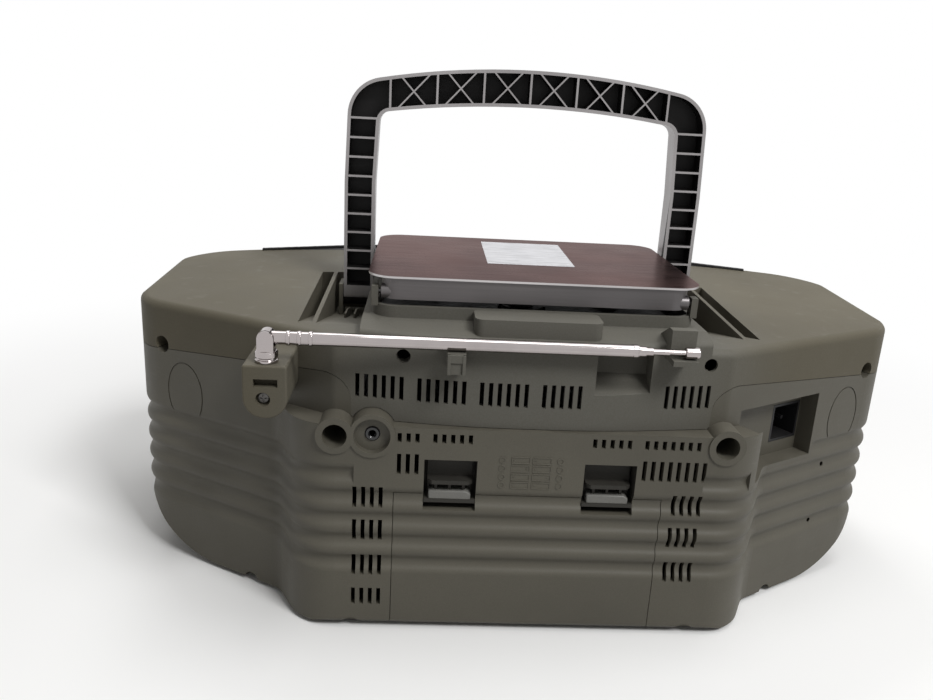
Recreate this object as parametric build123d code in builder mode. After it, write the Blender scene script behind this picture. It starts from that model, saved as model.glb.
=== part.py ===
from build123d import *
from math import cos, radians, sin, sqrt, tan
import os

os.makedirs("parts", exist_ok=True)

# Frame: +Z up, front towards -Y, rear face towards +Y, millimetres, resting plane z = 0

# Cabinet
half_width = 251.0
depth = 245.0
rear = 122.5
front = rear - depth
foot_height = 3.0
wall = 2.6
seam = 0.4

# Rear wings, slanting forward from the flat centre
wing_angle = 30.4
wing_root_x = 114.0
wing_root_y = rear - 14.0
wing_corner_radius = 38.0
crease_radius = 10.0
panel_flat_half = 40.0
panel_y = rear - 3.0

# Bulge of the lower shell, which holds the batteries
bulge_corner_x = 131.3
bulge_corner_radius = 32.0
groove_x = 149.8
groove_radius = 16.0
ledge_z = 131.0

# Top surfaces
wing_top_z = 182.4
wing_fall_side = 0.0412
wing_fall_rear = 0.0388
top_edge_radius = 5.0
deck_top_z = 186.0
deck_edge_z = 181.5
deck_edge_run = 24.0
deck_edge_radius = 3.0
deck_low_z = 165.0
hull_ceiling_z = 205.0

# Front and underside
front_corner_radius = 48.0
front_flat_half = 120.0
front_fall = 23.0
chin_z = 100.0
chin_run = 12.6
crossing = 0.8
bilge_radius = 55.0
keel_half = 247.0
lip_depth = 13.0
front_shell_depth = 45.0
lip_z = 172.0

# Parting line between the lower and the upper rear shells
parting_side_z = 143.2
parting_inner_z = 158.2
parting_inner_x = 104.0
parting_radius = 16.0

# Wave ribs round the lower shell
wave_count = 5
wave_pitch = 14.0
wave_depth = 2.4
wave_low_z = 45.0
wave_front_y = -34.0
wave_clear = 3.0
wave_skip_half = 101.0
wave_skip_z = 94.0

# Battery compartment: two D cells long, two high, two deep
cell_diameter = 34.2
bay_half = 75.0
bay_floor_z = 6.4
bay_depth = 76.0
bay_height = 72.2
door_half = 78.0
door_top_z = 89.5
door_gap = 0.4
door_axis_y = rear - 3.2
door_axis_z = 4.8
door_pin_radius = 1.1
door_pin_length = 2.0
latch_x = 46.0
latch_half = 15.1
latch_tab = 13.0
latch_pocket_low_z = 80.0
latch_pocket_top_z = 111.6
latch_pocket_depth = 14.0
latch_shelf_z = 96.0
latch_top_z = 110.8
latch_travel = 4.0

# Screw bosses and the socket on the ledge
boss_x = 112.0
boss_z = 124.5
boss_radius = 10.8
boss_hole = 7.0
boss_length = 34.0
phones_x = 91.0
phones_z = 125.0
phones_radius = 13.0
phones_length = 14.0
phones_recess = 4.0
phones_barrel = 4.4
jack_radius = 1.75
screw_radius = 1.8
screw_head = 3.6

# Mains inlet in a recess of the right wing
inlet_x = 157.0
inlet_z = 119.0
inlet_width = 74.0
inlet_height = 42.0
inlet_depth = 12.0
inlet_front = 14.0
socket_offset = 23.0
socket_width = 26.0
socket_height = 25.0
socket_length = 20.0

# Holes and marks on the wings
side_hole_x = 229.9
side_hole_z = 148.7
side_hole_radius = 5.5
side_hole_depth = 18.0
pad_x = 214.3
pad_z = 118.9
pad_half_width = 15.0
pad_half_height = 21.0
small_hole_radius = 1.6
small_holes = [(206.1, 85.8), (203.7, 44.7)]
notch_x = 101.6
wing_notch_x = 170.0
notch_z = 1.5
notch_radius = 5.5
notch_deep = 4.0

# Finger pocket, antenna clip and cradle on the upper rear panel
finger_x = -49.0
finger_half = 16.0
finger_low_z = 149.0
finger_top_z = 177.0
finger_depth = 18.0
clip_x = 46.0
clip_low_z = 166.0
clip_rest_z = 177.5
cradle_x = 79.0
cradle_half = 7.0
cradle_rest_z = 177.8
cradle_top_z = 193.0
pad_block_half = 36.0
pad_block_top_z = 192.6
upper_vent_z = 150.8
upper_vent_height = 14.0

# Main board on the floor
board_half = 80.0
board_rear_y = rear - 95.0
board_front_y = rear - 190.0
board_z = 10.0

# Vents
slot_pitch = 5.0
slot_width = 2.4

# Handle
handle_y = rear - 146.0
pivot_z = 172.0
handle_top_z = 327.1
handle_half = 121.0
arm_bend_z = 250.0
shoulder_x = 118.8
shoulder_z = 313.5
arm_width = 20.5
grip_width = 23.5
grip_corner_x = 98.3
grip_corner_z = 296.0
grip_corner_radius = 7.5
arm_depth = 16.0
handle_wall = 2.2
web_thickness = 3.0
handle_corner_radius = 25.0
cell_pitch = 12.6
pivot_radius = 4.0
channel_inner_x = 99.8
channel_outer_x = 138.0
fin_x = 128.5
fin_thickness = 2.6
channel_deep_z = 158.0
channel_run_z = 181.0
channel_rear_y = rear - 28.0
channel_front_y = rear - 160.0
channel_flat = 22.0
floor_wall = 2.4
cheek_x = 121.4
cheek_thickness = 2.6
rib_thickness = 1.4
arm_rib_low = 6.5
arm_rib_count = 10
grip_bays = 6
grip_pitch = 30.6
grip_brace_angle = 47.0
grip_bow = 1112.0
brace_thickness = 1.0

# Clearances
fit = 0.05
gap = 0.4

# Disc lid, collar and well
lid_half = 89.5
lid_rear = rear - 32.0
lid_front = rear - 172.0
lid_low_z = 196.4
plate_half = 97.5
plate_z = 208.8
plate_thickness = 1.2
lid_wall = 2.2
collar_half = 95.0
collar_rear = rear - 30.5
collar_front = rear - 175.5
collar_top_z = 192.8
collar_radius = 14.0
well_x = 0.0
well_y = rear - 103.0
well_radius = 62.5
lid_pivot_y = rear - 37.5
lid_pivot_z = 200.0
lid_pin_radius = 1.5
collar_wall = 3.5
collar_lip = 8.0
well_lip_z = 178.5
hinge_cheek = 3.8
lid_lug = 6.0
hook_low_z = 186.5
tray_lip_z = 181.0
tray_plate = 2.5
recess_depth = 7.0
hub_radius = 14.0
rail_x = 14.0
rail_z = 170.3
rail_radius = 1.2
rail_rear_y = well_y - 7.0
rail_front_y = well_y - 66.0
pickup_y = well_y - 24.0

# Antenna
antenna_x = 148.0
antenna_y = rear + 3.5
antenna_z = 181.5
tube_radii = [3.6, 2.95, 2.3, 1.65]
tube_running = 0.08
tube_mouth_x = -53.0
tube_step = 4.0
tip_x = -80.0
tip_length = 7.0
tip_radius = 3.2
knuckle_radius = 4.6
knuckle_half = 3.0
barrel_radius = 4.8
barrel_low_z = 161.5
holder_radius = 12.0
holder_low_z = 138.0
holder_top_z = 168.0

# Speakers, one each side of the front
speaker_x = 165.0
speaker_y = front + 7.9
speaker_z = 92.0
speaker_lean = 10.0
speaker_radius = 48.0
speaker_seat = 15.0
speaker_ring = 60.0
grille_radius = 56.0
basket_depth = 20.0
basket_back = 26.0
coil_radius = 14.0

# Front controls
display_half = 46.0
display_low_z = 126.0
display_top_z = 150.0
knob_x = 80.0
knob_z = 138.0
knob_radius = 13.0
knob_height = 12.0
knob_shaft = 3.0
knob_flutes = 24
switch_x = 52.0
switch_z = 162.0
switch_travel = 18.0
button_x = 8.0
button_pitch = 18.0
button_count = 2
button_radius = 5.0
key_count = 6
key_pitch = 20.0
key_half = 9.6
key_y = front + 34.0
key_reach = 15.0
key_height = 6.0
key_travel = 4.0

# Cassette door, bay and mechanism
cassette_half = 62.0
cassette_low_z = 20.0
cassette_high_z = 102.0
bay_back = 41.0
door_thickness = 14.0
door_pivot_y = front + 12.3
door_pivot_z = 24.0
door_pivot_radius = 1.5
window_half = 40.0
window_low_z = 48.0
window_top_z = 86.0
reel_spacing = 42.5
reel_z = 66.0
reel_shaft = 1.3
reel_length = 14.0
capstan_x = 16.0
capstan_z = 36.0
capstan_radius = 1.2
flywheel_radius = 18.0
roller_z = 27.6
roller_radius = 6.3


def wing_y(x):
    """Rear face of a wing at the distance x from the middle."""
    return wing_root_y - (abs(x) - wing_root_x) * tan(radians(wing_angle))


def outline(half, radii):
    """Closed symmetric outline from the corners of its +X half and their radii."""
    other = [(-x, y) for x, y in reversed(half)]
    return FilletPolyline(*half, *other, radius=[*radii, *reversed(radii)], close=True)


front_corners = [
    (half_width, wing_y(half_width)),
    (half_width, front + front_fall),
    (front_flat_half, front),
]
front_radii = [wing_corner_radius, front_corner_radius, 300.0]
upper_corners = [(panel_flat_half, panel_y), (wing_root_x, wing_root_y), *front_corners]
upper_radii = [400.0, crease_radius, *front_radii]
lower_corners = [(bulge_corner_x, rear), (groove_x, wing_y(groove_x)), *front_corners]
lower_radii = [bulge_corner_radius, groove_radius, *front_radii]
side_corners = [(keel_half, foot_height), (half_width + 0.3, 116.0), (half_width - 1.0, hull_ceiling_z)]
side_radii = [bilge_radius, 200.0, 0.0]
profile_radii = [7.0, 0.0, 0.0, 200.0, 10.0]


def profile_corners(inset):
    """Side view of the cabinet, drawn in by the inset."""
    low = foot_height - crossing + inset
    fall = chin_run / (chin_z - foot_height)
    return [
        (rear + crossing - inset, low),
        (rear + crossing - inset, hull_ceiling_z),
        (front - crossing + inset, hull_ceiling_z),
        (front - crossing + inset, chin_z),
        (front - crossing + inset + (chin_z - low) * fall, low),
    ]


def hull(upper_inset, lower_inset, ceiling):
    """Boat-shaped body of the cabinet, drawn in by the insets and cut at the ceiling."""
    with BuildPart() as body:
        with BuildSketch(Plane.XY):
            with BuildLine():
                outline(upper_corners, upper_radii)
            make_face()
            if upper_inset:
                offset(amount=-upper_inset)
        extrude(amount=ceiling)
        with BuildSketch(Plane.XY):
            with BuildLine():
                outline(lower_corners, lower_radii)
            make_face()
            if lower_inset:
                offset(amount=-lower_inset)
        extrude(amount=ledge_z - (wall if lower_inset else 0.0))
        with BuildSketch(Plane.XZ):
            with BuildLine():
                outline(side_corners, side_radii)
            make_face()
            if upper_inset:
                offset(amount=-upper_inset)
        extrude(amount=depth, both=True, mode=Mode.INTERSECT)
        with BuildSketch(Plane.YZ):
            with BuildLine():
                FilletPolyline(*profile_corners(upper_inset), radius=profile_radii, close=True)
            make_face()
        extrude(amount=2.0 * half_width, both=True, mode=Mode.INTERSECT)
    return body.part


def roof_plane(side, drop):
    """Tilted plane of the top of one wing, lowered by drop."""
    normal = Vector(side * wing_fall_side, wing_fall_rear, 1.0)
    return Plane(origin=(0, rear, wing_top_z - drop), z_dir=normal)


def block(x, y, z, mode=Mode.ADD):
    """Box between two limits on each axis."""
    with Locations(((x[0] + x[1]) / 2, (y[0] + y[1]) / 2, (z[0] + z[1]) / 2)):
        return Box(x[1] - x[0], y[1] - y[0], z[1] - z[0], mode=mode)


def rod(start, end, radius, mode=Mode.ADD):
    """Round bar between two points."""
    direction = Vector(end) - Vector(start)
    with Locations(Plane(origin=start, z_dir=direction)):
        return Cylinder(
            radius, direction.length, align=(Align.CENTER, Align.CENTER, Align.MIN), mode=mode
        )


def lower_zone(margin):
    """Everything under the parting line, less a margin."""
    corners = [
        (half_width + 9.0, -1.0),
        (half_width + 9.0, parting_side_z - margin),
        (parting_inner_x, parting_inner_z - margin),
        (parting_inner_x, ledge_z - margin),
    ]
    with BuildPart() as zone:
        with BuildSketch(Plane.XZ):
            with BuildLine():
                outline(corners, [0.0, 0.0, parting_radius, 0.0])
            make_face()
        extrude(amount=depth, both=True)
    return zone.part


def front_zone(margin):
    """The space of the front shell, with a margin behind and above it."""
    with BuildPart() as zone:
        back = front + front_shell_depth + margin
        block((-half_width - 9.0, half_width + 9.0), (front - 30.0, back), (-1.0, lip_z + margin))
        block((-half_width - 9.0, half_width + 9.0), (front - 30.0, front + lip_depth + margin), (0.0, 210.0))
    return zone.part


def wing_plane(side, x, z, sink=0.0):
    """Plane on the face of a wing, its local x level and its z outwards."""
    turn = radians(wing_angle)
    normal = Vector(side * sin(turn), cos(turn), 0.0)
    level = Vector(-cos(turn), side * sin(turn), 0.0)
    return Plane(origin=Vector(side * x, wing_y(x), z) - normal * sink, x_dir=level, z_dir=normal)


def rounded_well(half, back, ahead, radius, low, high, mode=Mode.ADD):
    """Upright block with a rounded rectangular plan."""
    with BuildSketch(Plane.XY.offset(low), mode=Mode.PRIVATE) as plan:
        with Locations((0, (back + ahead) / 2)):
            RectangleRounded(2 * half, back - ahead, radius)
    extrude(plan.sketch, amount=high - low, mode=mode)


with BuildPart() as outer_form:
    add(hull(0.0, 0.0, hull_ceiling_z))
    for side in (1, -1):
        split(bisect_by=roof_plane(side, 0.0), keep=Keep.BOTTOM)
    tops = outer_form.faces().filter_by(lambda face: face.normal_at().Z > 0.98)
    rim = tops.edges().filter_by(lambda edge: edge.center().Z > lip_z and edge.center().Y > -54.0)
    fillet(rim.filter_by(lambda edge: abs(edge.center().X) > 20.0), radius=top_edge_radius)

with BuildPart() as inner_form:
    add(hull(wall, wall + wave_depth, hull_ceiling_z))
    for side in (1, -1):
        split(bisect_by=roof_plane(side, wall), keep=Keep.BOTTOM)

with BuildPart() as waves:
    wave_start = (half_width, wave_front_y)
    wave_corners = [wave_start, (half_width, wing_y(half_width)), *lower_corners[1::-1]]
    wave_radii = [wing_corner_radius, groove_radius, bulge_corner_radius]
    with BuildLine():
        FilletPolyline(
            *wave_corners,
            *[(-x, y) for x, y in reversed(wave_corners)],
            radius=[*wave_radii, *reversed(wave_radii)],
        )
    half = wave_depth / 2
    quarter = wave_pitch / 4
    bend = (quarter**2 + half**2) / (2 * half)
    lead = sqrt(bend**2 - quarter**2)
    mid_u = bend - sqrt((bend + lead) * bend / 2)
    mid_v = sqrt((bend - lead) * bend / 2)
    base = wave_low_z - wave_pitch / 2
    crown = base + wave_count * wave_pitch
    with BuildSketch(Plane(origin=(*wave_start, 0), x_dir=(-1, 0, 0), z_dir=(0, 1, 0))):
        with BuildLine():
            ThreePointArc((0, base), (mid_u, base + mid_v), (half, base + quarter))
            for index in range(wave_count):
                trough = wave_low_z + index * wave_pitch
                ThreePointArc((half, trough - quarter), (wave_depth, trough), (half, trough + quarter))
                if index < wave_count - 1:
                    crest = trough + wave_pitch / 2
                    ThreePointArc((half, crest - quarter), (0, crest), (half, crest + quarter))
            ThreePointArc((half, crown - quarter), (mid_u, crown - mid_v), (0, crown))
            Polyline((0, crown), (-wave_clear, crown), (-wave_clear, base), (0, base))
        make_face()
    sweep()
    block((-wave_skip_half, wave_skip_half), (rear - 20.0, rear + 20.0), (wave_skip_z, crown + 1), Mode.SUBTRACT)

with BuildPart() as deck_form:
    with BuildSketch(Plane.YZ):
        with BuildLine():
            Polyline(
                (panel_y, deck_low_z),
                (panel_y, deck_edge_z),
                (panel_y - deck_edge_run, deck_top_z),
                (front + lip_depth + seam, deck_top_z),
                (front + lip_depth + seam, deck_low_z),
                close=True,
            )
        make_face()
    extrude(amount=channel_inner_x, both=True)
    with BuildSketch(Plane.XY):
        with BuildLine():
            outline(upper_corners, upper_radii)
        make_face()
    extrude(amount=hull_ceiling_z, mode=Mode.INTERSECT)
    deck_rim = deck_form.edges().filter_by(lambda edge: edge.center().Z > deck_edge_z - 0.5)
    fillet(deck_rim.filter_by(lambda edge: edge.center().Y > panel_y - 12.0 and abs(edge.center().X) < 97.0),
           radius=deck_edge_radius)




def row_of(start, count):
    """Places of the slots of one vent, one pitch apart."""
    return [start + index * slot_pitch for index in range(count)]


def vent(places, z, height, back, deep):
    """Cut upright slots at the given places, from the face at back inwards."""
    with Locations(*[(x, back - deep / 2 + 1.0, z) for x in places]):
        Box(slot_width, deep + 2.0, height, mode=Mode.SUBTRACT)


def channel(x, low, mode):
    """Sloping trough beside the lid, between two x limits and lowered by low."""
    with BuildSketch(Plane.YZ.offset(x[0]), mode=Mode.PRIVATE) as trough:
        with BuildLine():
            Polyline(
                (channel_front_y - low, hull_ceiling_z + 5.0),
                (channel_front_y - low, channel_deep_z - low),
                (channel_front_y + channel_flat, channel_deep_z - low),
                (channel_rear_y + low, channel_run_z - low),
                (channel_rear_y + low, hull_ceiling_z + 5.0),
                close=True,
            )
        make_face()
    extrude(trough.sketch, amount=x[1] - x[0], mode=mode)


shoulder_y = rear - wall - wave_depth - gap
bay_rear_y = shoulder_y
bay_front_y = shoulder_y - bay_depth
bay_top_z = bay_floor_z + bay_height
frame_half = door_half + door_gap + wall
side_hole_planes = [wing_plane(side, side_hole_x, side_hole_z) for side in (1, -1)]
pad_planes = [wing_plane(side, pad_x, pad_z) for side in (1, -1)]

with BuildPart() as inlet_walls:
    with Locations(wing_plane(-1, inlet_x, inlet_z, (inlet_depth + wall) / 2 - inlet_front)):
        Box(inlet_width + 2 * wall, inlet_height + 2 * wall, inlet_depth + wall + 2 * inlet_front)
    add(outer_form.part, mode=Mode.INTERSECT)

with BuildPart() as side_tubes:
    for plane in side_hole_planes:
        with Locations(plane):
            Cylinder(side_hole_radius + wall, 2 * side_hole_depth + 2 * wall)
    add(outer_form.part, mode=Mode.INTERSECT)

with BuildPart() as side_holes:
    for plane in side_hole_planes:
        with Locations(plane):
            Cylinder(side_hole_radius, 2 * side_hole_depth)

with BuildPart() as rear_cabinet:
    add(outer_form.part)
    add(waves.part, mode=Mode.SUBTRACT)
    add(inner_form.part, mode=Mode.SUBTRACT)
    add(side_tubes.part)
    add(lower_zone(seam), mode=Mode.INTERSECT)
    add(front_zone(seam), mode=Mode.SUBTRACT)
    add(inlet_walls.part)
    block((-frame_half, frame_half), (bay_front_y - wall, shoulder_y), (foot_height + 1.0, door_top_z + wall))
    for side in (1, -1):
        latch = side * latch_x
        pocket_back = rear - latch_pocket_depth
        block(
            (latch - latch_half - 2.0, latch + latch_half + 2.0),
            (pocket_back - 2.0, rear - wall),
            (door_top_z, latch_pocket_top_z + 2.0),
        )
        rod((side * boss_x, rear + 1.0, boss_z), (side * boss_x, rear - boss_length, boss_z), boss_radius)
    rod((phones_x, rear + 1.0, phones_z), (phones_x, rear - phones_length, phones_z), phones_radius)
    block((-bay_half, bay_half), (bay_front_y, rear - wall), (bay_floor_z, bay_top_z), Mode.SUBTRACT)
    block(
        (-door_half - door_gap, door_half + door_gap),
        (shoulder_y, rear + 5.0),
        (-1.0, door_top_z + door_gap),
        Mode.SUBTRACT,
    )
    for side in (1, -1):
        latch = side * latch_x
        block(
            (latch - latch_half, latch + latch_half),
            (rear - latch_pocket_depth, rear + 5.0),
            (latch_pocket_low_z, latch_pocket_top_z),
            Mode.SUBTRACT,
        )
        rod(
            (side * boss_x, rear + 2.0, boss_z),
            (side * boss_x, rear - boss_length + wall, boss_z),
            boss_hole,
            Mode.SUBTRACT,
        )
        rod(
            (side * boss_x, rear, boss_z),
            (side * boss_x, rear - boss_length - 1.0, boss_z),
            screw_radius + fit,
            Mode.SUBTRACT,
        )
        rod(
            (side * (door_half - 1.0), door_axis_y, door_axis_z),
            (side * (door_half + door_pin_length + gap), door_axis_y, door_axis_z),
            door_pin_radius + fit,
            Mode.SUBTRACT,
        )
        rod((side * notch_x, rear + 2.0, notch_z), (side * notch_x, rear - notch_deep, notch_z),
            notch_radius, Mode.SUBTRACT)
        with Locations(wing_plane(side, wing_notch_x, notch_z)):
            Cylinder(notch_radius, 2 * notch_deep, mode=Mode.SUBTRACT)
        vent([side * x for x in row_of(35.4, 5)], 124.6, 5.5, rear, 7.0)
        vent([side * x for x in row_of(85.5, 4)], 87.0, 13.0, rear, 7.0)
        vent([side * x for x in row_of(85.5, 4)], 65.0, 13.0, rear, 7.0)
        vent([side * x for x in row_of(85.5, 4)], 43.0, 13.0, rear, 7.0)
    vent(row_of(85.5, 4), 22.0, 11.0, rear, 7.0)
    vent(row_of(65.5, 3), 124.6, 5.5, rear, 7.0)
    vent(row_of(-95.5, 7), 124.6, 5.5, rear, 7.0)
    vent(row_of(65.5, 3), 108.5, 12.5, rear, 7.0)
    vent(row_of(-100.5, 8), 108.5, 12.5, rear, 7.0)
    rod((phones_x, rear + 2.0, phones_z), (phones_x, rear - phones_recess, phones_z), phones_radius - 2.6,
        Mode.SUBTRACT)
    rod((phones_x, rear, phones_z), (phones_x, rear - phones_length - 1.0, phones_z),
        phones_barrel + fit, Mode.SUBTRACT)
    with Locations(wing_plane(-1, inlet_x, inlet_z, (inlet_depth - inlet_front) / 2)):
        Box(inlet_width, inlet_height, inlet_depth + inlet_front, mode=Mode.SUBTRACT)
    with Locations(wing_plane(-1, inlet_x, inlet_z, inlet_depth)):
        with Locations((socket_offset, 0, 0)):
            Box(socket_width + 0.6, socket_height + 0.6, 4 * wall, mode=Mode.SUBTRACT)
    add(side_holes.part, mode=Mode.SUBTRACT)
    for plane in pad_planes:
        with BuildSketch(plane):
            Ellipse(pad_half_width, pad_half_height)
            Ellipse(pad_half_width - 0.9, pad_half_height - 0.9, mode=Mode.SUBTRACT)
        extrude(amount=-0.6, mode=Mode.SUBTRACT)
    for x, z in small_holes:
        with Locations(wing_plane(-1, x, z)):
            Cylinder(small_hole_radius, 6.0, mode=Mode.SUBTRACT)
    for x in (-board_half + 6.0, board_half - 6.0):
        for y in (board_rear_y - 6.0, board_front_y + 6.0):
            rod((x, y, foot_height + 1.0), (x, y, board_z), 3.0)
rear_cabinet.part.label = "rear_cabinet"
export_step(rear_cabinet.part, "parts/rear_cabinet.step")

with BuildPart() as door_form:
    add(outer_form.part)
    add(waves.part, mode=Mode.SUBTRACT)
    block((-door_half, door_half), (shoulder_y + gap, rear + 5.0), (0.0, door_top_z), Mode.INTERSECT)

with BuildPart() as battery_door:
    add(door_form.part)
    corner = battery_door.edges().filter_by(Axis.X).sort_by(lambda edge: edge.center().Y + edge.center().Z)
    fillet(corner[0], radius=1.4)
    for side in (1, -1):
        latch = side * latch_x
        block(
            (latch - latch_half, latch + latch_half),
            (shoulder_y, rear + 5.0),
            (latch_pocket_low_z, door_top_z + 1.0),
            Mode.SUBTRACT,
        )
        rod(
            (side * (door_half - 3.0), door_axis_y, door_axis_z),
            (side * (door_half + door_pin_length), door_axis_y, door_axis_z),
            door_pin_radius,
        )
battery_door.part.label = "battery_door"
export_step(battery_door.part, "parts/battery_door.step")

for side, name in ((1, "battery_latch_left"), (-1, "battery_latch_right")):
    latch = side * latch_x
    grip = latch_half - 0.3
    low = latch_pocket_low_z + latch_travel + gap
    with BuildPart() as battery_latch:
        block((latch - grip, latch + grip), (rear - 11.0, rear - 1.2), (low, low + 2.2))
        block((latch - latch_tab, latch + latch_tab), (rear - 11.0, rear - 9.0), (low, latch_top_z))
        block((latch - latch_tab, latch + latch_tab), (rear - 11.0, rear - 0.8), (latch_shelf_z, latch_shelf_z + 2.4))
        corners = battery_latch.edges().filter_by(Axis.Z).sort_by(Axis.Y)[-4:]
        chamfer(corners.filter_by(lambda edge: edge.center().Z > latch_shelf_z), length=2.6)
        for x in (-8.0, 0.0, 8.0):
            block((latch + x - 0.8, latch + x + 0.8), (rear - 9.2, rear - 4.0), (low + 2.0, latch_shelf_z + 0.2))
    battery_latch.part.label = name
    export_step(battery_latch.part, "parts/%s.step" % name)

with BuildPart() as battery_contacts:
    for side in (1, -1):
        for level in (-1, 1):
            for row in (-1, 1):
                y = (bay_front_y + bay_rear_y) / 2 + row * cell_diameter / 2
                z = (bay_floor_z + bay_top_z) / 2 + level * cell_diameter / 2
                wall_x = side * bay_half
                block(
                    sorted((wall_x, wall_x - side * 0.6)),
                    (y - 9.0, y + 9.0),
                    (z - 9.0, z + 9.0),
                )
                rod((wall_x - side * 0.5, y, z), (wall_x - side * 4.0, y, z), 4.0)
battery_contacts.part.label = "battery_contacts"
export_step(battery_contacts.part, "parts/battery_contacts.step")

with BuildPart() as ac_inlet:
    with Locations(wing_plane(-1, inlet_x, inlet_z, inlet_depth)):
        with Locations((socket_offset, 0, -socket_length / 2)):
            Box(socket_width, socket_height, socket_length)
        with Locations((socket_offset, 0, -socket_length / 2 + 1.0)):
            Box(socket_width - 3.0, socket_height - 3.0, socket_length - 2.0, mode=Mode.SUBTRACT)
        with Locations((socket_offset - 4.3, 0, -socket_length + 8.0), (socket_offset + 4.3, 0, -socket_length + 8.0)):
            Cylinder(1.2, 13.0)
ac_inlet.part.label = "ac_inlet"
export_step(ac_inlet.part, "parts/ac_inlet.step")

with BuildPart() as phones_jack:
    rod((phones_x, rear - phones_length - 8.0, phones_z), (phones_x, rear - phones_recess, phones_z), phones_barrel)
    block(
        (phones_x - 6.0, phones_x + 6.0),
        (rear - phones_length - 16.0, rear - phones_length),
        (phones_z - 7.0, phones_z + 3.0),
    )
    rod((phones_x, rear, phones_z), (phones_x, rear - phones_length - 8.0, phones_z), jack_radius, Mode.SUBTRACT)
phones_jack.part.label = "phones_jack"
export_step(phones_jack.part, "parts/phones_jack.step")
with BuildPart() as finger_walls:
    block(
        (finger_x - finger_half - wall, finger_x + finger_half + wall),
        (rear - finger_depth - wall - 4.0, rear),
        (finger_low_z - wall, finger_top_z + wall),
    )
    add(outer_form.part, mode=Mode.INTERSECT)

with BuildPart() as channel_walls:
    for side in (1, -1):
        limits = sorted((side * (channel_inner_x - floor_wall), side * (channel_outer_x + floor_wall)))
        channel(limits, floor_wall, Mode.ADD)
    add(outer_form.part, mode=Mode.INTERSECT)

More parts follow.
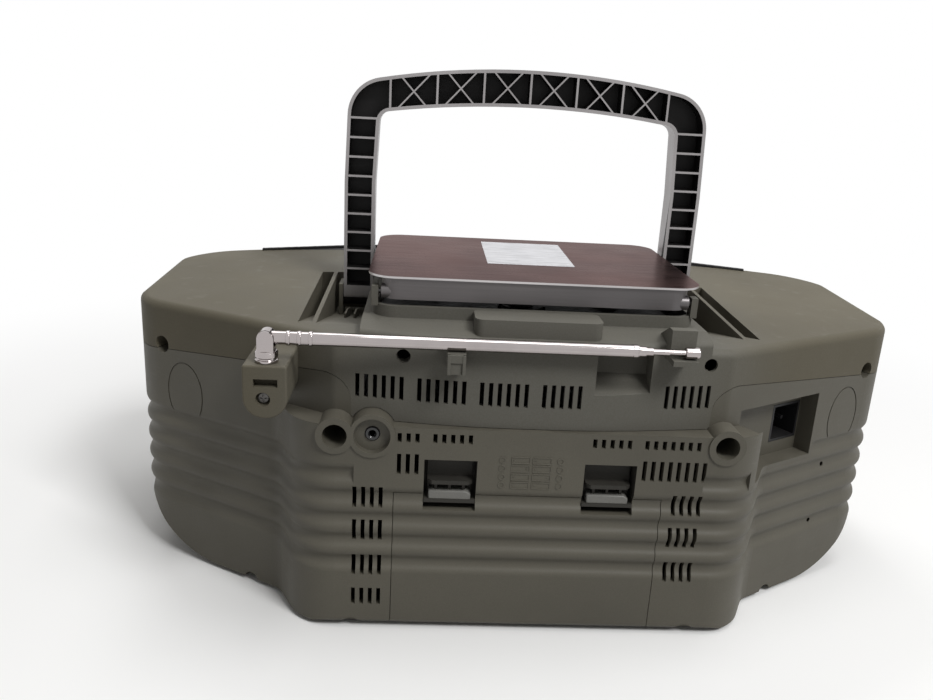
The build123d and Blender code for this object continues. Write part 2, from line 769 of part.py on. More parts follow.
with BuildPart() as top_cabinet:
    add(outer_form.part)
    add(inner_form.part, mode=Mode.SUBTRACT)
    add(side_tubes.part)
    block(
        (-channel_inner_x, channel_inner_x),
        (front - 5.0, rear - 30.0),
        (deck_top_z - wall - 0.6, hull_ceiling_z),
        Mode.SUBTRACT,
    )
    add(deck_form.part)
    block(
        (-channel_inner_x + wall, channel_inner_x - wall),
        (front + lip_depth + wall, panel_y - deck_edge_run),
        (deck_low_z - 1.0, deck_top_z - wall),
        Mode.SUBTRACT,
    )
    block(
        (-channel_inner_x + wall, channel_inner_x - wall),
        (panel_y - deck_edge_run - 1.0, panel_y - 14.0),
        (deck_low_z - 1.0, deck_edge_z - wall),
        Mode.SUBTRACT,
    )
    add(channel_walls.part)
    add(finger_walls.part)
    add(lower_zone(0.0), mode=Mode.SUBTRACT)
    add(front_zone(seam), mode=Mode.SUBTRACT)
    rounded_well(collar_half, collar_rear, collar_front, collar_radius, well_lip_z, collar_top_z)
    rounded_well(
        collar_half - collar_wall,
        collar_rear - collar_wall,
        collar_front + collar_wall,
        collar_radius - collar_wall,
        tray_lip_z,
        collar_top_z + 5.0,
        Mode.SUBTRACT,
    )
    rounded_well(
        collar_half - collar_lip,
        collar_rear - collar_lip,
        collar_front + collar_lip,
        collar_radius - collar_lip,
        deck_low_z - 10.0,
        collar_top_z,
        Mode.SUBTRACT,
    )
    with BuildSketch(Plane.XY.offset(deck_edge_z - 2.0)):
        with Locations((0, rear - 20.0)):
            RectangleRounded(2 * pad_block_half, 22.6, 5.0)
    extrude(amount=pad_block_top_z - deck_edge_z + 2.0)
    for side in (1, -1):
        trough = sorted((side * channel_inner_x, side * (fin_x - fin_thickness / 2)))
        channel(trough, 0.0, Mode.SUBTRACT)
        outer_trough = sorted((side * (fin_x + fin_thickness / 2), side * channel_outer_x))
        channel(outer_trough, 0.0, Mode.SUBTRACT)
        block(
            sorted((side * cheek_x, side * (cheek_x + cheek_thickness))),
            (handle_y - 9.0, handle_y + 9.0),
            (channel_deep_z - 1.0, pivot_z + 8.0),
        )
        rod((side * 90.0, handle_y, pivot_z), (side * 125.0, handle_y, pivot_z), pivot_radius, Mode.SUBTRACT)
        block(
            sorted((side * (collar_half - hinge_cheek), side * collar_half)),
            (lid_pivot_y - 3.5, lid_pivot_y + 3.5),
            (collar_top_z - 1.0, lid_pivot_z + 3.5),
        )
        rod(
            (side * (collar_half - hinge_cheek - 1.0), lid_pivot_y, lid_pivot_z),
            (side * (collar_half - 0.5), lid_pivot_y, lid_pivot_z),
            lid_pin_radius,
            Mode.SUBTRACT,
        )
        rod(
            (side * boss_x, rear + 5.0, boss_z),
            (side * boss_x, rear - boss_length - 2.0, boss_z),
            boss_radius + seam,
            Mode.SUBTRACT,
        )
    rod((phones_x, rear + 5.0, phones_z), (phones_x, rear - phones_length - 4.0, phones_z),
        phones_radius + seam, Mode.SUBTRACT)
    with BuildSketch(Plane.YZ.offset(finger_x - finger_half)):
        with BuildLine():
            Polyline(
                (rear + 2.0, finger_low_z),
                (rear + 2.0, finger_top_z),
                (rear - finger_depth - 2.0, finger_top_z),
                (rear - finger_depth - 2.0, finger_low_z + 12.0),
                close=True,
            )
        make_face()
    extrude(amount=2 * finger_half, mode=Mode.SUBTRACT)
    add(side_holes.part, mode=Mode.SUBTRACT)
    block((clip_x - 5.0, clip_x + 5.0), (rear - 6.0, rear + 9.0), (clip_low_z, clip_rest_z))
    block((clip_x - 5.0, clip_x + 5.0), (rear - 6.0, rear - 0.6), (clip_rest_z - 0.5, antenna_z + 2.0))
    block(
        (-cradle_x - cradle_half, -cradle_x + cradle_half),
        (rear - 12.0, rear + 8.0),
        (cradle_rest_z - 3.0, cradle_rest_z),
    )
    with BuildSketch(Plane.YZ.offset(-cradle_x - cradle_half)):
        with BuildLine():
            Polyline(
                (rear - 26.0, cradle_rest_z - 1.0),
                (rear - 0.6, cradle_rest_z - 1.0),
                (rear - 0.6, cradle_top_z),
                (rear - 7.0, cradle_top_z),
                (rear - 26.0, deck_edge_z + 2.0),
                close=True,
            )
        make_face()
    extrude(amount=2 * cradle_half)
    vent(row_of(75.6, 6), upper_vent_z, upper_vent_height, rear, 20.0)
    vent(row_of(40.5, 6), upper_vent_z, upper_vent_height, rear, 14.0)
    vent(row_of(5.5, 6), upper_vent_z, upper_vent_height, rear, 14.0)
    vent(row_of(-24.7, 5), upper_vent_z, upper_vent_height, rear, 14.0)
    vent(row_of(-100.6, 6), upper_vent_z, upper_vent_height, rear, 20.0)
    for x in (75.0, -100.0):
        rod((x, rear, lip_z - 2.0), (x, rear - 30.0, lip_z - 2.0), 4.0, Mode.SUBTRACT)
    for index in range(key_count):
        x = (index - (key_count - 1) / 2) * key_pitch
        block((x - 5.1, x + 5.1), (key_y - 4.1, key_y + 4.1), (deck_low_z, deck_top_z + 2.0), Mode.SUBTRACT)
top_cabinet.part.label = "top_cabinet"
export_step(top_cabinet.part, "parts/top_cabinet.step")

with BuildPart() as front_shell:
    add(outer_form.part)
    add(inner_form.part, mode=Mode.SUBTRACT)
    block(
        (-channel_inner_x, channel_inner_x),
        (front - 5.0, rear - 30.0),
        (deck_top_z, hull_ceiling_z),
        Mode.SUBTRACT,
    )
    block(
        (-channel_inner_x, channel_inner_x),
        (front + 1.0, front + lip_depth),
        (deck_top_z - wall, deck_top_z),
    )
    add(front_zone(0.0), mode=Mode.INTERSECT)

speaker_planes = []
for side in (1, -1):
    lean = radians(speaker_lean)
    speaker_planes.append(
        Plane(
            origin=(side * speaker_x, speaker_y, speaker_z),
            x_dir=(cos(lean), side * sin(lean), 0),
            z_dir=(side * sin(lean), -cos(lean), 0),
        )
    )

with BuildPart() as front_cavity:
    add(inner_form.part)
    for plane in speaker_planes:
        with Locations(plane.offset(-speaker_seat / 2 + 10.0)):
            Cylinder(speaker_ring, speaker_seat + 20.0, mode=Mode.SUBTRACT)
    block(
        (-cassette_half - 3.0, cassette_half + 3.0),
        (front - 5.0, front + bay_back),
        (cassette_low_z - 3.6, cassette_high_z + 3.0),
        Mode.SUBTRACT,
    )

with BuildPart() as front_cabinet:
    add(outer_form.part)
    add(front_cavity.part, mode=Mode.SUBTRACT)
    block(
        (-channel_inner_x, channel_inner_x),
        (front - 5.0, rear - 30.0),
        (deck_top_z, hull_ceiling_z),
        Mode.SUBTRACT,
    )
    block(
        (-channel_inner_x, channel_inner_x),
        (front + 1.0, front + lip_depth),
        (deck_top_z - wall, deck_top_z),
    )
    add(front_zone(0.0), mode=Mode.INTERSECT)
    for plane in speaker_planes:
        with Locations(plane):
            Cylinder(grille_radius + seam, 4 * speaker_seat, mode=Mode.SUBTRACT)
    block(
        (-cassette_half, cassette_half),
        (front - 5.0, front + bay_back + 1.0),
        (cassette_low_z - 0.8, cassette_high_z),
        Mode.SUBTRACT,
    )
    for side in (1, -1):
        rod(
            (side * (cassette_half - 1.0), door_pivot_y, door_pivot_z),
            (side * (cassette_half + 2.5), door_pivot_y, door_pivot_z),
            door_pivot_radius + fit,
            Mode.SUBTRACT,
        )
        rod((side * knob_x, front - 5.0, knob_z), (side * knob_x, front + 12.0, knob_z), knob_shaft + fit,
            Mode.SUBTRACT)
    block((-display_half, display_half), (front - 5.0, front + 1.5), (display_low_z, display_top_z), Mode.SUBTRACT)
    block(
        (-display_half + 3.0, display_half - 3.0),
        (front - 5.0, front + 8.0),
        (display_low_z + 3.0, display_top_z - 3.0),
        Mode.SUBTRACT,
    )
    block((switch_x - 3.0, switch_x + switch_travel + 3.0), (front - 5.0, front + 8.0),
          (switch_z - 2.0, switch_z + 2.0), Mode.SUBTRACT)
    for index in range(button_count):
        x = button_x - index * button_pitch
        rod((x, front - 5.0, switch_z), (x, front + 8.0, switch_z), button_radius + gap, Mode.SUBTRACT)
front_cabinet.part.label = "front_cabinet"
export_step(front_cabinet.part, "parts/front_cabinet.step")

for plane, name in zip(speaker_planes, ("left", "right")):
    with BuildPart() as speaker_grille:
        add(front_shell.part)
        with Locations(plane):
            Cylinder(grille_radius, 4 * speaker_seat, mode=Mode.INTERSECT)
        for index in range(-5, 6):
            reach = sqrt((grille_radius - 5.0) ** 2 - (index * 8.6) ** 2)
            with Locations(plane):
                with Locations((0, index * 8.6, 0)):
                    Box(2 * reach, 4.0, 4 * speaker_seat, mode=Mode.SUBTRACT)
    speaker_grille.part.label = "speaker_grille_%s" % name
    export_step(speaker_grille.part, "parts/speaker_grille_%s.step" % name)

    with BuildPart() as speaker_frame:
        with Locations(plane.offset(-speaker_seat)):
            Cylinder(speaker_ring, 2.0, align=(Align.CENTER, Align.CENTER, Align.MAX))
            Cylinder(speaker_radius, 3.0, align=(Align.CENTER, Align.CENTER, Align.MAX), mode=Mode.SUBTRACT)
        with Locations(plane.offset(-speaker_seat - 2.0 - basket_depth / 2)):
            Cone(basket_back, speaker_radius + 3.0, basket_depth)
            Cone(basket_back - 2.0, speaker_radius + 1.0, basket_depth, mode=Mode.SUBTRACT)
            with PolarLocations(0, 4):
                Box(2 * speaker_ring, 16.0, basket_depth - 6.0, mode=Mode.SUBTRACT)
        with Locations(plane.offset(-speaker_seat - 2.0 - basket_depth)):
            Cylinder(basket_back, 2.0, align=(Align.CENTER, Align.CENTER, Align.MAX))
    speaker_frame.part.label = "speaker_frame_%s" % name
    export_step(speaker_frame.part, "parts/speaker_frame_%s.step" % name)

    with BuildPart() as speaker_cone:
        with Locations(plane.offset(-speaker_seat - basket_depth / 2)):
            Cone(coil_radius, speaker_radius, basket_depth)
            Cone(coil_radius - 1.0, speaker_radius - 1.2, basket_depth, mode=Mode.SUBTRACT)
        with Locations(plane.offset(-speaker_seat - basket_depth)):
            Cylinder(coil_radius, 2.0, align=(Align.CENTER, Align.CENTER, Align.MAX))
            Cone(coil_radius - 1.0, coil_radius - 7.0, 4.0, align=(Align.CENTER, Align.CENTER, Align.MIN))
    speaker_cone.part.label = "speaker_cone_%s" % name
    export_step(speaker_cone.part, "parts/speaker_cone_%s.step" % name)

    with BuildPart() as speaker_magnet:
        with Locations(plane.offset(-speaker_seat - 4.0 - basket_depth)):
            Cylinder(basket_back + 4.0, 14.0, align=(Align.CENTER, Align.CENTER, Align.MAX))
    speaker_magnet.part.label = "speaker_magnet_%s" % name
    export_step(speaker_magnet.part, "parts/speaker_magnet_%s.step" % name)

with BuildPart() as display_window:
    block(
        (-display_half + 0.3, display_half - 0.3),
        (front, front + 1.5),
        (display_low_z + 0.3, display_top_z - 0.3),
    )
display_window.part.label = "display_window"
export_step(display_window.part, "parts/display_window.step")

with BuildPart() as display_panel:
    block((-display_half, display_half), (front + wall, front + wall + 6.0), (display_low_z, display_top_z))
display_panel.part.label = "display_panel"
export_step(display_panel.part, "parts/display_panel.step")

for side, name in ((1, "tuning_knob"), (-1, "volume_knob")):
    with BuildPart() as knob:
        rod((side * knob_x, front - gap, knob_z), (side * knob_x, front - knob_height, knob_z), knob_radius)
        rim = knob.edges().filter_by(GeomType.CIRCLE).sort_by(Axis.Y)[0]
        fillet(rim, radius=1.5)
        rod((side * knob_x, front - 1.0, knob_z), (side * knob_x, front + 10.0, knob_z), knob_shaft)
        with Locations(Plane(origin=(side * knob_x, front, knob_z), z_dir=(0, -1, 0))):
            with PolarLocations(knob_radius, knob_flutes):
                Cylinder(0.7, 4 * knob_height, mode=Mode.SUBTRACT)
    knob.part.label = name
    export_step(knob.part, "parts/%s.step" % name)

with BuildPart() as function_switch:
    block((switch_x - 2.5, switch_x + 2.5), (front - 3.0, front + 6.0), (switch_z - 1.6, switch_z + 1.6))
    block((switch_x - 5.0, switch_x + 5.0), (front - 4.0, front - gap), (switch_z - 4.0, switch_z + 4.0))
function_switch.part.label = "function_switch"
export_step(function_switch.part, "parts/function_switch.step")

for index in range(button_count):
    with BuildPart() as disc_button:
        x = button_x - index * button_pitch
        rod((x, front - 3.0, switch_z), (x, front + 6.0, switch_z), button_radius)
        rod((x, front + 4.0, switch_z), (x, front + 6.0, switch_z), button_radius + 1.2)
    disc_button.part.label = "disc_button_%d" % (index + 1)
    export_step(disc_button.part, "parts/disc_button_%d.step" % (index + 1))

for index in range(key_count):
    with BuildPart() as tape_key:
        x = (index - (key_count - 1) / 2) * key_pitch
        block((x - key_half, x + key_half), (key_y - key_reach, key_y + key_reach),
              (deck_top_z + key_travel + gap, deck_top_z + key_travel + key_height))
        brow = tape_key.edges().filter_by(Axis.X).sort_by(lambda edge: edge.center().Z - edge.center().Y)[-1]
        fillet(brow, radius=2.5)
        block((x - 4.7, x + 4.7), (key_y - 3.7, key_y + 3.7), (deck_low_z + 2.0, deck_top_z + key_travel + 1.0))
    tape_key.part.label = "tape_key_%d" % (index + 1)
    export_step(tape_key.part, "parts/tape_key_%d.step" % (index + 1))

with BuildPart() as cassette_door:
    add(outer_form.part)
    block(
        (-cassette_half + gap, cassette_half - gap),
        (front - 1.0, front + door_thickness),
        (cassette_low_z + gap, cassette_high_z - gap),
        Mode.INTERSECT,
    )
    block((-window_half - 4.0, window_half + 4.0), (front + 4.0, front + 20.0),
          (window_low_z - 4.0, window_top_z + 4.0), Mode.SUBTRACT)
    block((-window_half, window_half), (front - 2.0, front + 20.0), (window_low_z, window_top_z), Mode.SUBTRACT)
    for side in (1, -1):
        rod(
            (side * (cassette_half - 3.0), door_pivot_y, door_pivot_z),
            (side * (cassette_half + 2.0), door_pivot_y, door_pivot_z),
            door_pivot_radius,
        )
cassette_door.part.label = "cassette_door"
export_step(cassette_door.part, "parts/cassette_door.step")

with BuildPart() as cassette_window:
    block((-window_half - 3.7, window_half + 3.7), (front + 4.0, front + 6.0),
          (window_low_z - 3.7, window_top_z + 3.7))
cassette_window.part.label = "cassette_window"
export_step(cassette_window.part, "parts/cassette_window.step")

tape_plate_y = front + bay_back
with BuildPart() as tape_chassis:
    block(
        (-cassette_half - 3.0, cassette_half + 3.0),
        (tape_plate_y, tape_plate_y + 2.0),
        (cassette_low_z - 3.0, cassette_high_z + 3.0),
    )
    for side in (1, -1):
        rod((side * reel_spacing / 2, tape_plate_y, reel_z),
            (side * reel_spacing / 2, tape_plate_y + 8.0, reel_z), 4.0)
        rod((side * reel_spacing / 2, tape_plate_y - 1.0, reel_z),
            (side * reel_spacing / 2, tape_plate_y + 9.0, reel_z), reel_shaft + fit, Mode.SUBTRACT)
    rod((capstan_x, tape_plate_y, capstan_z), (capstan_x, tape_plate_y + 8.0, capstan_z), 4.0)
    rod((capstan_x, tape_plate_y - 1.0, capstan_z), (capstan_x, tape_plate_y + 9.0, capstan_z),
        capstan_radius + fit, Mode.SUBTRACT)
    rod((capstan_x, tape_plate_y + 1.0, roller_z), (capstan_x, tape_plate_y - 14.0, roller_z), 1.2)
tape_chassis.part.label = "tape_chassis"
export_step(tape_chassis.part, "parts/tape_chassis.step")

for side, name in ((-1, "supply_reel"), (1, "takeup_reel")):
    with BuildPart() as reel:
        x = side * reel_spacing / 2
        rod((x, tape_plate_y - gap, reel_z), (x, tape_plate_y - 2.4, reel_z), 10.5)
        rod((x, tape_plate_y - gap, reel_z), (x, tape_plate_y - reel_length, reel_z), 3.0)
        with Locations(Plane(origin=(x, tape_plate_y - reel_length / 2 - 1.0, reel_z), z_dir=(0, -1, 0))):
            with PolarLocations(0, 3):
                Box(9.2, 1.4, reel_length - 3.0)
        rod((x, tape_plate_y - 1.0, reel_z), (x, tape_plate_y + 7.0, reel_z), reel_shaft)
    reel.part.label = name
    export_step(reel.part, "parts/%s.step" % name)

with BuildPart() as capstan:
    rod((capstan_x, tape_plate_y - 14.0, capstan_z), (capstan_x, tape_plate_y + 12.0, capstan_z), capstan_radius)
    rod((capstan_x, tape_plate_y + 8.0 + gap, capstan_z), (capstan_x, tape_plate_y + 14.0, capstan_z),
        flywheel_radius)
capstan.part.label = "capstan"
export_step(capstan.part, "parts/capstan.step")

with BuildPart() as pinch_roller:
    rod((capstan_x, tape_plate_y - 3.0, roller_z), (capstan_x, tape_plate_y - 12.0, roller_z), roller_radius)
    rod((capstan_x, tape_plate_y - 1.0, roller_z), (capstan_x, tape_plate_y - 15.0, roller_z), 1.2 + fit,
        Mode.SUBTRACT)
pinch_roller.part.label = "pinch_roller"
export_step(pinch_roller.part, "parts/pinch_roller.step")

with BuildPart() as tape_head:
    block((-7.0, 7.0), (tape_plate_y - 12.0, tape_plate_y), (roller_z - 6.0, roller_z + 6.0))
tape_head.part.label = "tape_head"
export_step(tape_head.part, "parts/tape_head.step")

with BuildPart() as handle:
    heel_z = pivot_z - arm_depth / 2
    inner_x = handle_half - arm_width
    arm = [
        (shoulder_x, shoulder_z),
        (handle_half, arm_bend_z),
        (handle_half, heel_z),
        (inner_x, heel_z),
        (inner_x, arm_bend_z),
        (grip_corner_x, grip_corner_z),
    ]
    with BuildSketch(Plane.XZ.offset(-handle_y - arm_depth / 2)) as silhouette:
        with BuildLine():
            Polyline(*arm)
            Polyline(*[(-x, z) for x, z in arm])
            ThreePointArc((-shoulder_x, shoulder_z), (0.0, handle_top_z), (shoulder_x, shoulder_z))
            ThreePointArc((-grip_corner_x, grip_corner_z), (0.0, handle_top_z - grip_width),
                          (grip_corner_x, grip_corner_z))
        make_face()
        shoulders = silhouette.vertices().filter_by(lambda corner: corner.Y > shoulder_z - 1.0)
        fillet(shoulders, radius=handle_corner_radius)
        hollows = silhouette.vertices().filter_by(lambda corner: abs(corner.Y - grip_corner_z) < 0.5
                                                  and abs(corner.X) < shoulder_x - arm_width / 2)
        fillet(hollows, radius=grip_corner_radius)
    extrude(amount=arm_depth)
    heels = handle.edges().filter_by(Axis.X).filter_by(lambda edge: edge.center().Z < pivot_z)
    fillet(heels, radius=arm_depth / 2 - 0.1)
    with BuildSketch(Plane.XZ.offset(-handle_y - arm_depth / 2)):
        add(silhouette.sketch)
        offset(amount=-handle_wall)
        with Locations((0, pivot_z)):
            Rectangle(2 * half_width, 2 * arm_rib_low, mode=Mode.SUBTRACT)
        for side in (1, -1):
            for index in range(arm_rib_count):
                with Locations((side * (handle_half - arm_width / 2), pivot_z + arm_rib_low + index * cell_pitch)):
                    Rectangle(2 * arm_width, rib_thickness, mode=Mode.SUBTRACT)
        for index in range(grip_bays + 1):
            x = (index - grip_bays / 2) * grip_pitch
            with Locations((x, handle_top_z - grip_width / 2)):
                Rectangle(rib_thickness, 3 * grip_width, mode=Mode.SUBTRACT)
        for index in range(grip_bays):
            x = (index - (grip_bays - 1) / 2) * grip_pitch
            fall = grip_width / 2 + x * x / grip_bow
            for lean in (grip_brace_angle, -grip_brace_angle):
                with Locations((x, handle_top_z - fall)):
                    Rectangle(2 * grip_width, brace_thickness, rotation=lean, mode=Mode.SUBTRACT)
    extrude(amount=arm_depth - web_thickness, mode=Mode.SUBTRACT)
    for side in (1, -1):
        rod((side * 90.0, handle_y, pivot_z), (side * 130.0, handle_y, pivot_z), pivot_radius + fit,
            Mode.SUBTRACT)
handle.part.label = "handle"
export_step(handle.part, "parts/handle.step")

with BuildPart() as handle_pivots:
    for side in (1, -1):
        rod(
            (side * (channel_inner_x - floor_wall), handle_y, pivot_z),
            (side * (cheek_x + cheek_thickness), handle_y, pivot_z),
            pivot_radius,
        )
handle_pivots.part.label = "handle_pivots"
export_step(handle_pivots.part, "parts/handle_pivots.step")

with BuildPart() as disc_lid:
    block((-lid_half, lid_half), (lid_front, lid_rear), (lid_low_z, plate_z))
    uprights = disc_lid.edges().filter_by(Axis.Z)
    fillet(uprights, radius=10.0)
    openings = disc_lid.faces().sort_by(Axis.Z)[0]
    offset(amount=-lid_wall, openings=openings)
    for side in (1, -1):
        rod((side * (lid_half + 1.0), lid_pivot_y, lid_pivot_z), (side * (lid_half - lid_lug), lid_pivot_y, lid_pivot_z),
            lid_pin_radius + 3.0)
    block((-lid_half, lid_half), (lid_front, lid_rear), (lid_low_z, plate_z), Mode.INTERSECT)
    for side in (1, -1):
        rod((side * (lid_half + 1.0), lid_pivot_y, lid_pivot_z),
            (side * (lid_half - lid_lug + 1.0), lid_pivot_y, lid_pivot_z), lid_pin_radius + fit, Mode.SUBTRACT)
    block((-5.0, 5.0), (lid_front + 3.0, lid_front + 5.0), (hook_low_z, plate_z - 1.0))
disc_lid.part.label = "disc_lid"
export_step(disc_lid.part, "parts/disc_lid.step")

with BuildPart() as lid_plate:
    with BuildSketch(Plane.XY.offset(plate_z)):
        with Locations((0, (lid_rear + lid_front) / 2)):
            RectangleRounded(2 * plate_half, lid_rear - lid_front + 3.0, 16.0)
    extrude(amount=plate_thickness)
lid_plate.part.label = "lid_plate"
export_step(lid_plate.part, "parts/lid_plate.step")

with BuildPart() as lid_label:
    block((-29.0, 26.0), (rear - 158.0, rear - 80.0), (plate_z + plate_thickness, plate_z + plate_thickness + 0.15))
lid_label.part.label = "lid_label"
export_step(lid_label.part, "parts/lid_label.step")

with BuildPart() as lid_hinge_pins:
    for side in (1, -1):
        rod(
            (side * (lid_half - lid_lug + 1.4), lid_pivot_y, lid_pivot_z),
            (side * (collar_half - 0.5), lid_pivot_y, lid_pivot_z),
            lid_pin_radius,
        )
lid_hinge_pins.part.label = "lid_hinge_pins"
export_step(lid_hinge_pins.part, "parts/lid_hinge_pins.step")

recess_floor_z = tray_lip_z + tray_plate - recess_depth
chassis_z = recess_floor_z - 12.0
with BuildPart() as disc_tray:
    rounded_well(
        collar_half - collar_wall - 0.3,
        collar_rear - collar_wall - 0.3,
        collar_front + collar_wall + 0.3,
        collar_radius - collar_wall,
        tray_lip_z,
        tray_lip_z + tray_plate,
    )
    rod((well_x, well_y, recess_floor_z - 2.0), (well_x, well_y, tray_lip_z + 1.0), well_radius + 1.5)
    rod((well_x, well_y, recess_floor_z), (well_x, well_y, collar_top_z), well_radius, Mode.SUBTRACT)
    rod((well_x, well_y, recess_floor_z - 5.0), (well_x, well_y, collar_top_z), hub_radius + 2.0, Mode.SUBTRACT)
    block((-7.0, 7.0), (well_y - 59.0, well_y), (recess_floor_z - 5.0, recess_floor_z + 1.0), Mode.SUBTRACT)
disc_tray.part.label = "disc_tray"
export_step(disc_tray.part, "parts/disc_tray.step")

with BuildPart() as drive_chassis:
    block((-45.0, 45.0), (well_y - 68.0, well_y + 44.0), (chassis_z, chassis_z + 2.0))
    for x in (-38.0, 38.0):
        for y in (well_y - 38.0, well_y + 38.0):
            rod((x, y, chassis_z), (x, y, recess_floor_z - 2.0), 3.0)
    for x in (-rail_x, rail_x):
        for y in (rail_rear_y, rail_front_y):
            block((x - 3.0, x + 3.0), (y - 1.5, y + 1.5), (chassis_z, chassis_z + 9.0))
            rod((x, y - 3.0, rail_z), (x, y + 3.0, rail_z), rail_radius, Mode.SUBTRACT)
    rod((well_x, well_y, chassis_z - 1.0), (well_x, well_y, chassis_z + 3.0), 2.0, Mode.SUBTRACT)
drive_chassis.part.label = "drive_chassis"
export_step(drive_chassis.part, "parts/drive_chassis.step")

with BuildPart() as guide_rods:
    for x in (-rail_x, rail_x):
        rod((x, rail_front_y - 1.5, rail_z), (x, rail_rear_y + 1.5, rail_z), rail_radius)
guide_rods.part.label = "guide_rods"
export_step(guide_rods.part, "parts/guide_rods.step")

with BuildPart() as laser_pickup:
    block((-rail_x - 3.0, rail_x + 3.0), (pickup_y - 8.0, pickup_y + 8.0), (rail_z - 2.2, rail_z + 2.4))
    rod((0.0, pickup_y, rail_z + 2.0), (0.0, pickup_y, recess_floor_z - 0.4), 3.4)
    for x in (-rail_x, rail_x):
        rod((x, pickup_y - 9.0, rail_z), (x, pickup_y + 9.0, rail_z), rail_radius + fit, Mode.SUBTRACT)
laser_pickup.part.label = "laser_pickup"
export_step(laser_pickup.part, "parts/laser_pickup.step")

with BuildPart() as spindle_motor:
    rod((well_x, well_y, chassis_z - 12.0), (well_x, well_y, chassis_z), 12.0)
    rod((well_x, well_y, chassis_z - 1.0), (well_x, well_y, recess_floor_z + 4.0), 1.0)
spindle_motor.part.label = "spindle_motor"
export_step(spindle_motor.part, "parts/spindle_motor.step")

with BuildPart() as turntable:
    rod((well_x, well_y, chassis_z + 2.3), (well_x, well_y, recess_floor_z + 1.0), 4.0)
    rod((well_x, well_y, recess_floor_z + 0.4), (well_x, well_y, recess_floor_z + 2.4), hub_radius)
    with Locations((well_x, well_y, recess_floor_z + 2.4)):
        Cone(7.4, 6.6, 4.6, align=(Align.CENTER, Align.CENTER, Align.MIN))
    rod((well_x, well_y, chassis_z), (well_x, well_y, recess_floor_z + 4.4), 1.0 + fit, Mode.SUBTRACT)
turntable.part.label = "turntable"
export_step(turntable.part, "parts/turntable.step")

with BuildPart() as antenna_holder:
    with BuildSketch(Plane.XZ.offset(-rear - 12.0)):
        with BuildLine():
            FilletPolyline(
                (antenna_x + holder_radius, holder_low_z),
                (antenna_x + holder_radius, holder_top_z),
                (antenna_x - holder_radius, holder_top_z),
                (antenna_x - holder_radius, holder_low_z),
                radius=[holder_radius - 0.5, 1.5, 1.5, holder_radius - 0.5],
                close=True,
            )
        make_face()
    extrude(amount=70.0)
    top_edges = antenna_holder.edges().filter_by(lambda edge: edge.center().Y > rear + 11.0)
    fillet(top_edges, radius=1.2)
    add(outer_form.part, mode=Mode.SUBTRACT)
    block((antenna_x - 7.0, antenna_x + 6.0), (rear + 6.0, rear + 14.0), (156.0, 160.5), Mode.SUBTRACT)
    rod((antenna_x + 1.0, rear + 14.0, 149.0), (antenna_x + 1.0, rear + 8.0, 149.0), 4.0, Mode.SUBTRACT)
    rod((antenna_x, antenna_y, barrel_low_z), (antenna_x, antenna_y, holder_top_z + 1.0), barrel_radius + fit,
        Mode.SUBTRACT)
antenna_holder.part.label = "antenna_holder"
export_step(antenna_holder.part, "parts/antenna_holder.step")

with BuildPart() as antenna_swivel:
    rod((antenna_x, antenna_y, barrel_low_z + 0.3), (antenna_x, antenna_y, antenna_z - 6.0), barrel_radius)
    block((antenna_x - 4.4, antenna_x + 4.4), (antenna_y - 4.8, antenna_y + 4.8), (holder_top_z + 2.0, antenna_z))
    rod((antenna_x, antenna_y - 4.8, antenna_z), (antenna_x, antenna_y + 4.8, antenna_z), 4.4)
    block(
        (antenna_x - 9.0, antenna_x + 9.0),
        (antenna_y - knuckle_half - 0.3, antenna_y + knuckle_half + 0.3),
        (antenna_z - knuckle_radius - 0.4, antenna_z + 9.0),
        Mode.SUBTRACT,
    )
    rod((antenna_x, antenna_y - 4.6, antenna_z), (antenna_x, antenna_y + 4.6, antenna_z), 1.3)
antenna_swivel.part.label = "antenna_swivel"
export_step(antenna_swivel.part, "parts/antenna_swivel.step")

with BuildPart() as antenna_tube_1:
    rod((antenna_x, antenna_y - knuckle_half, antenna_z), (antenna_x, antenna_y + knuckle_half, antenna_z),
        knuckle_radius)
    rod((antenna_x, antenna_y, antenna_z), (tube_mouth_x, antenna_y, antenna_z), tube_radii[0])
    block((antenna_x - 4.6, antenna_x + 6.0), (antenna_y + knuckle_half, antenna_y + 8.0),
          (antenna_z - 6.0, antenna_z + 6.0), Mode.SUBTRACT)
    block((antenna_x - 4.6, antenna_x + 6.0), (antenna_y - 8.0, antenna_y - knuckle_half),
          (antenna_z - 6.0, antenna_z + 6.0), Mode.SUBTRACT)
    rod((antenna_x, antenna_y - 6.0, antenna_z), (antenna_x, antenna_y + 6.0, antenna_z), 1.3 + fit, Mode.SUBTRACT)
    rod((tube_mouth_x - 1.0, antenna_y, antenna_z), (antenna_x - 10.0, antenna_y, antenna_z),
        tube_radii[1] + tube_running, Mode.SUBTRACT)
antenna_tube_1.part.label = "antenna_tube_1"
export_step(antenna_tube_1.part, "parts/antenna_tube_1.step")

for index in (1, 2):
    mouth = tube_mouth_x - index * tube_step
    heel = antenna_x - 12.0 - index * 3.0
    with BuildPart() as antenna_tube:
        rod((heel, antenna_y, antenna_z), (mouth, antenna_y, antenna_z), tube_radii[index])
        rod((heel - 2.0, antenna_y, antenna_z), (mouth - 1.0, antenna_y, antenna_z),
            tube_radii[index + 1] + tube_running, Mode.SUBTRACT)
    antenna_tube.part.label = "antenna_tube_%d" % (index + 1)
    export_step(antenna_tube.part, "parts/antenna_tube_%d.step" % (index + 1))

with BuildPart() as antenna_tube_4:
    rod((antenna_x - 22.0, antenna_y, antenna_z), (tip_x, antenna_y, antenna_z), tube_radii[3])
    rod((tip_x + 1.0, antenna_y, antenna_z), (tip_x - tip_length, antenna_y, antenna_z), tip_radius)
    ends = antenna_tube_4.edges().filter_by(GeomType.CIRCLE).filter_by(lambda edge: edge.radius > 3.0)
    fillet(ends, radius=0.8)
antenna_tube_4.part.label = "antenna_tube_4"
export_step(antenna_tube_4.part, "parts/antenna_tube_4.step")

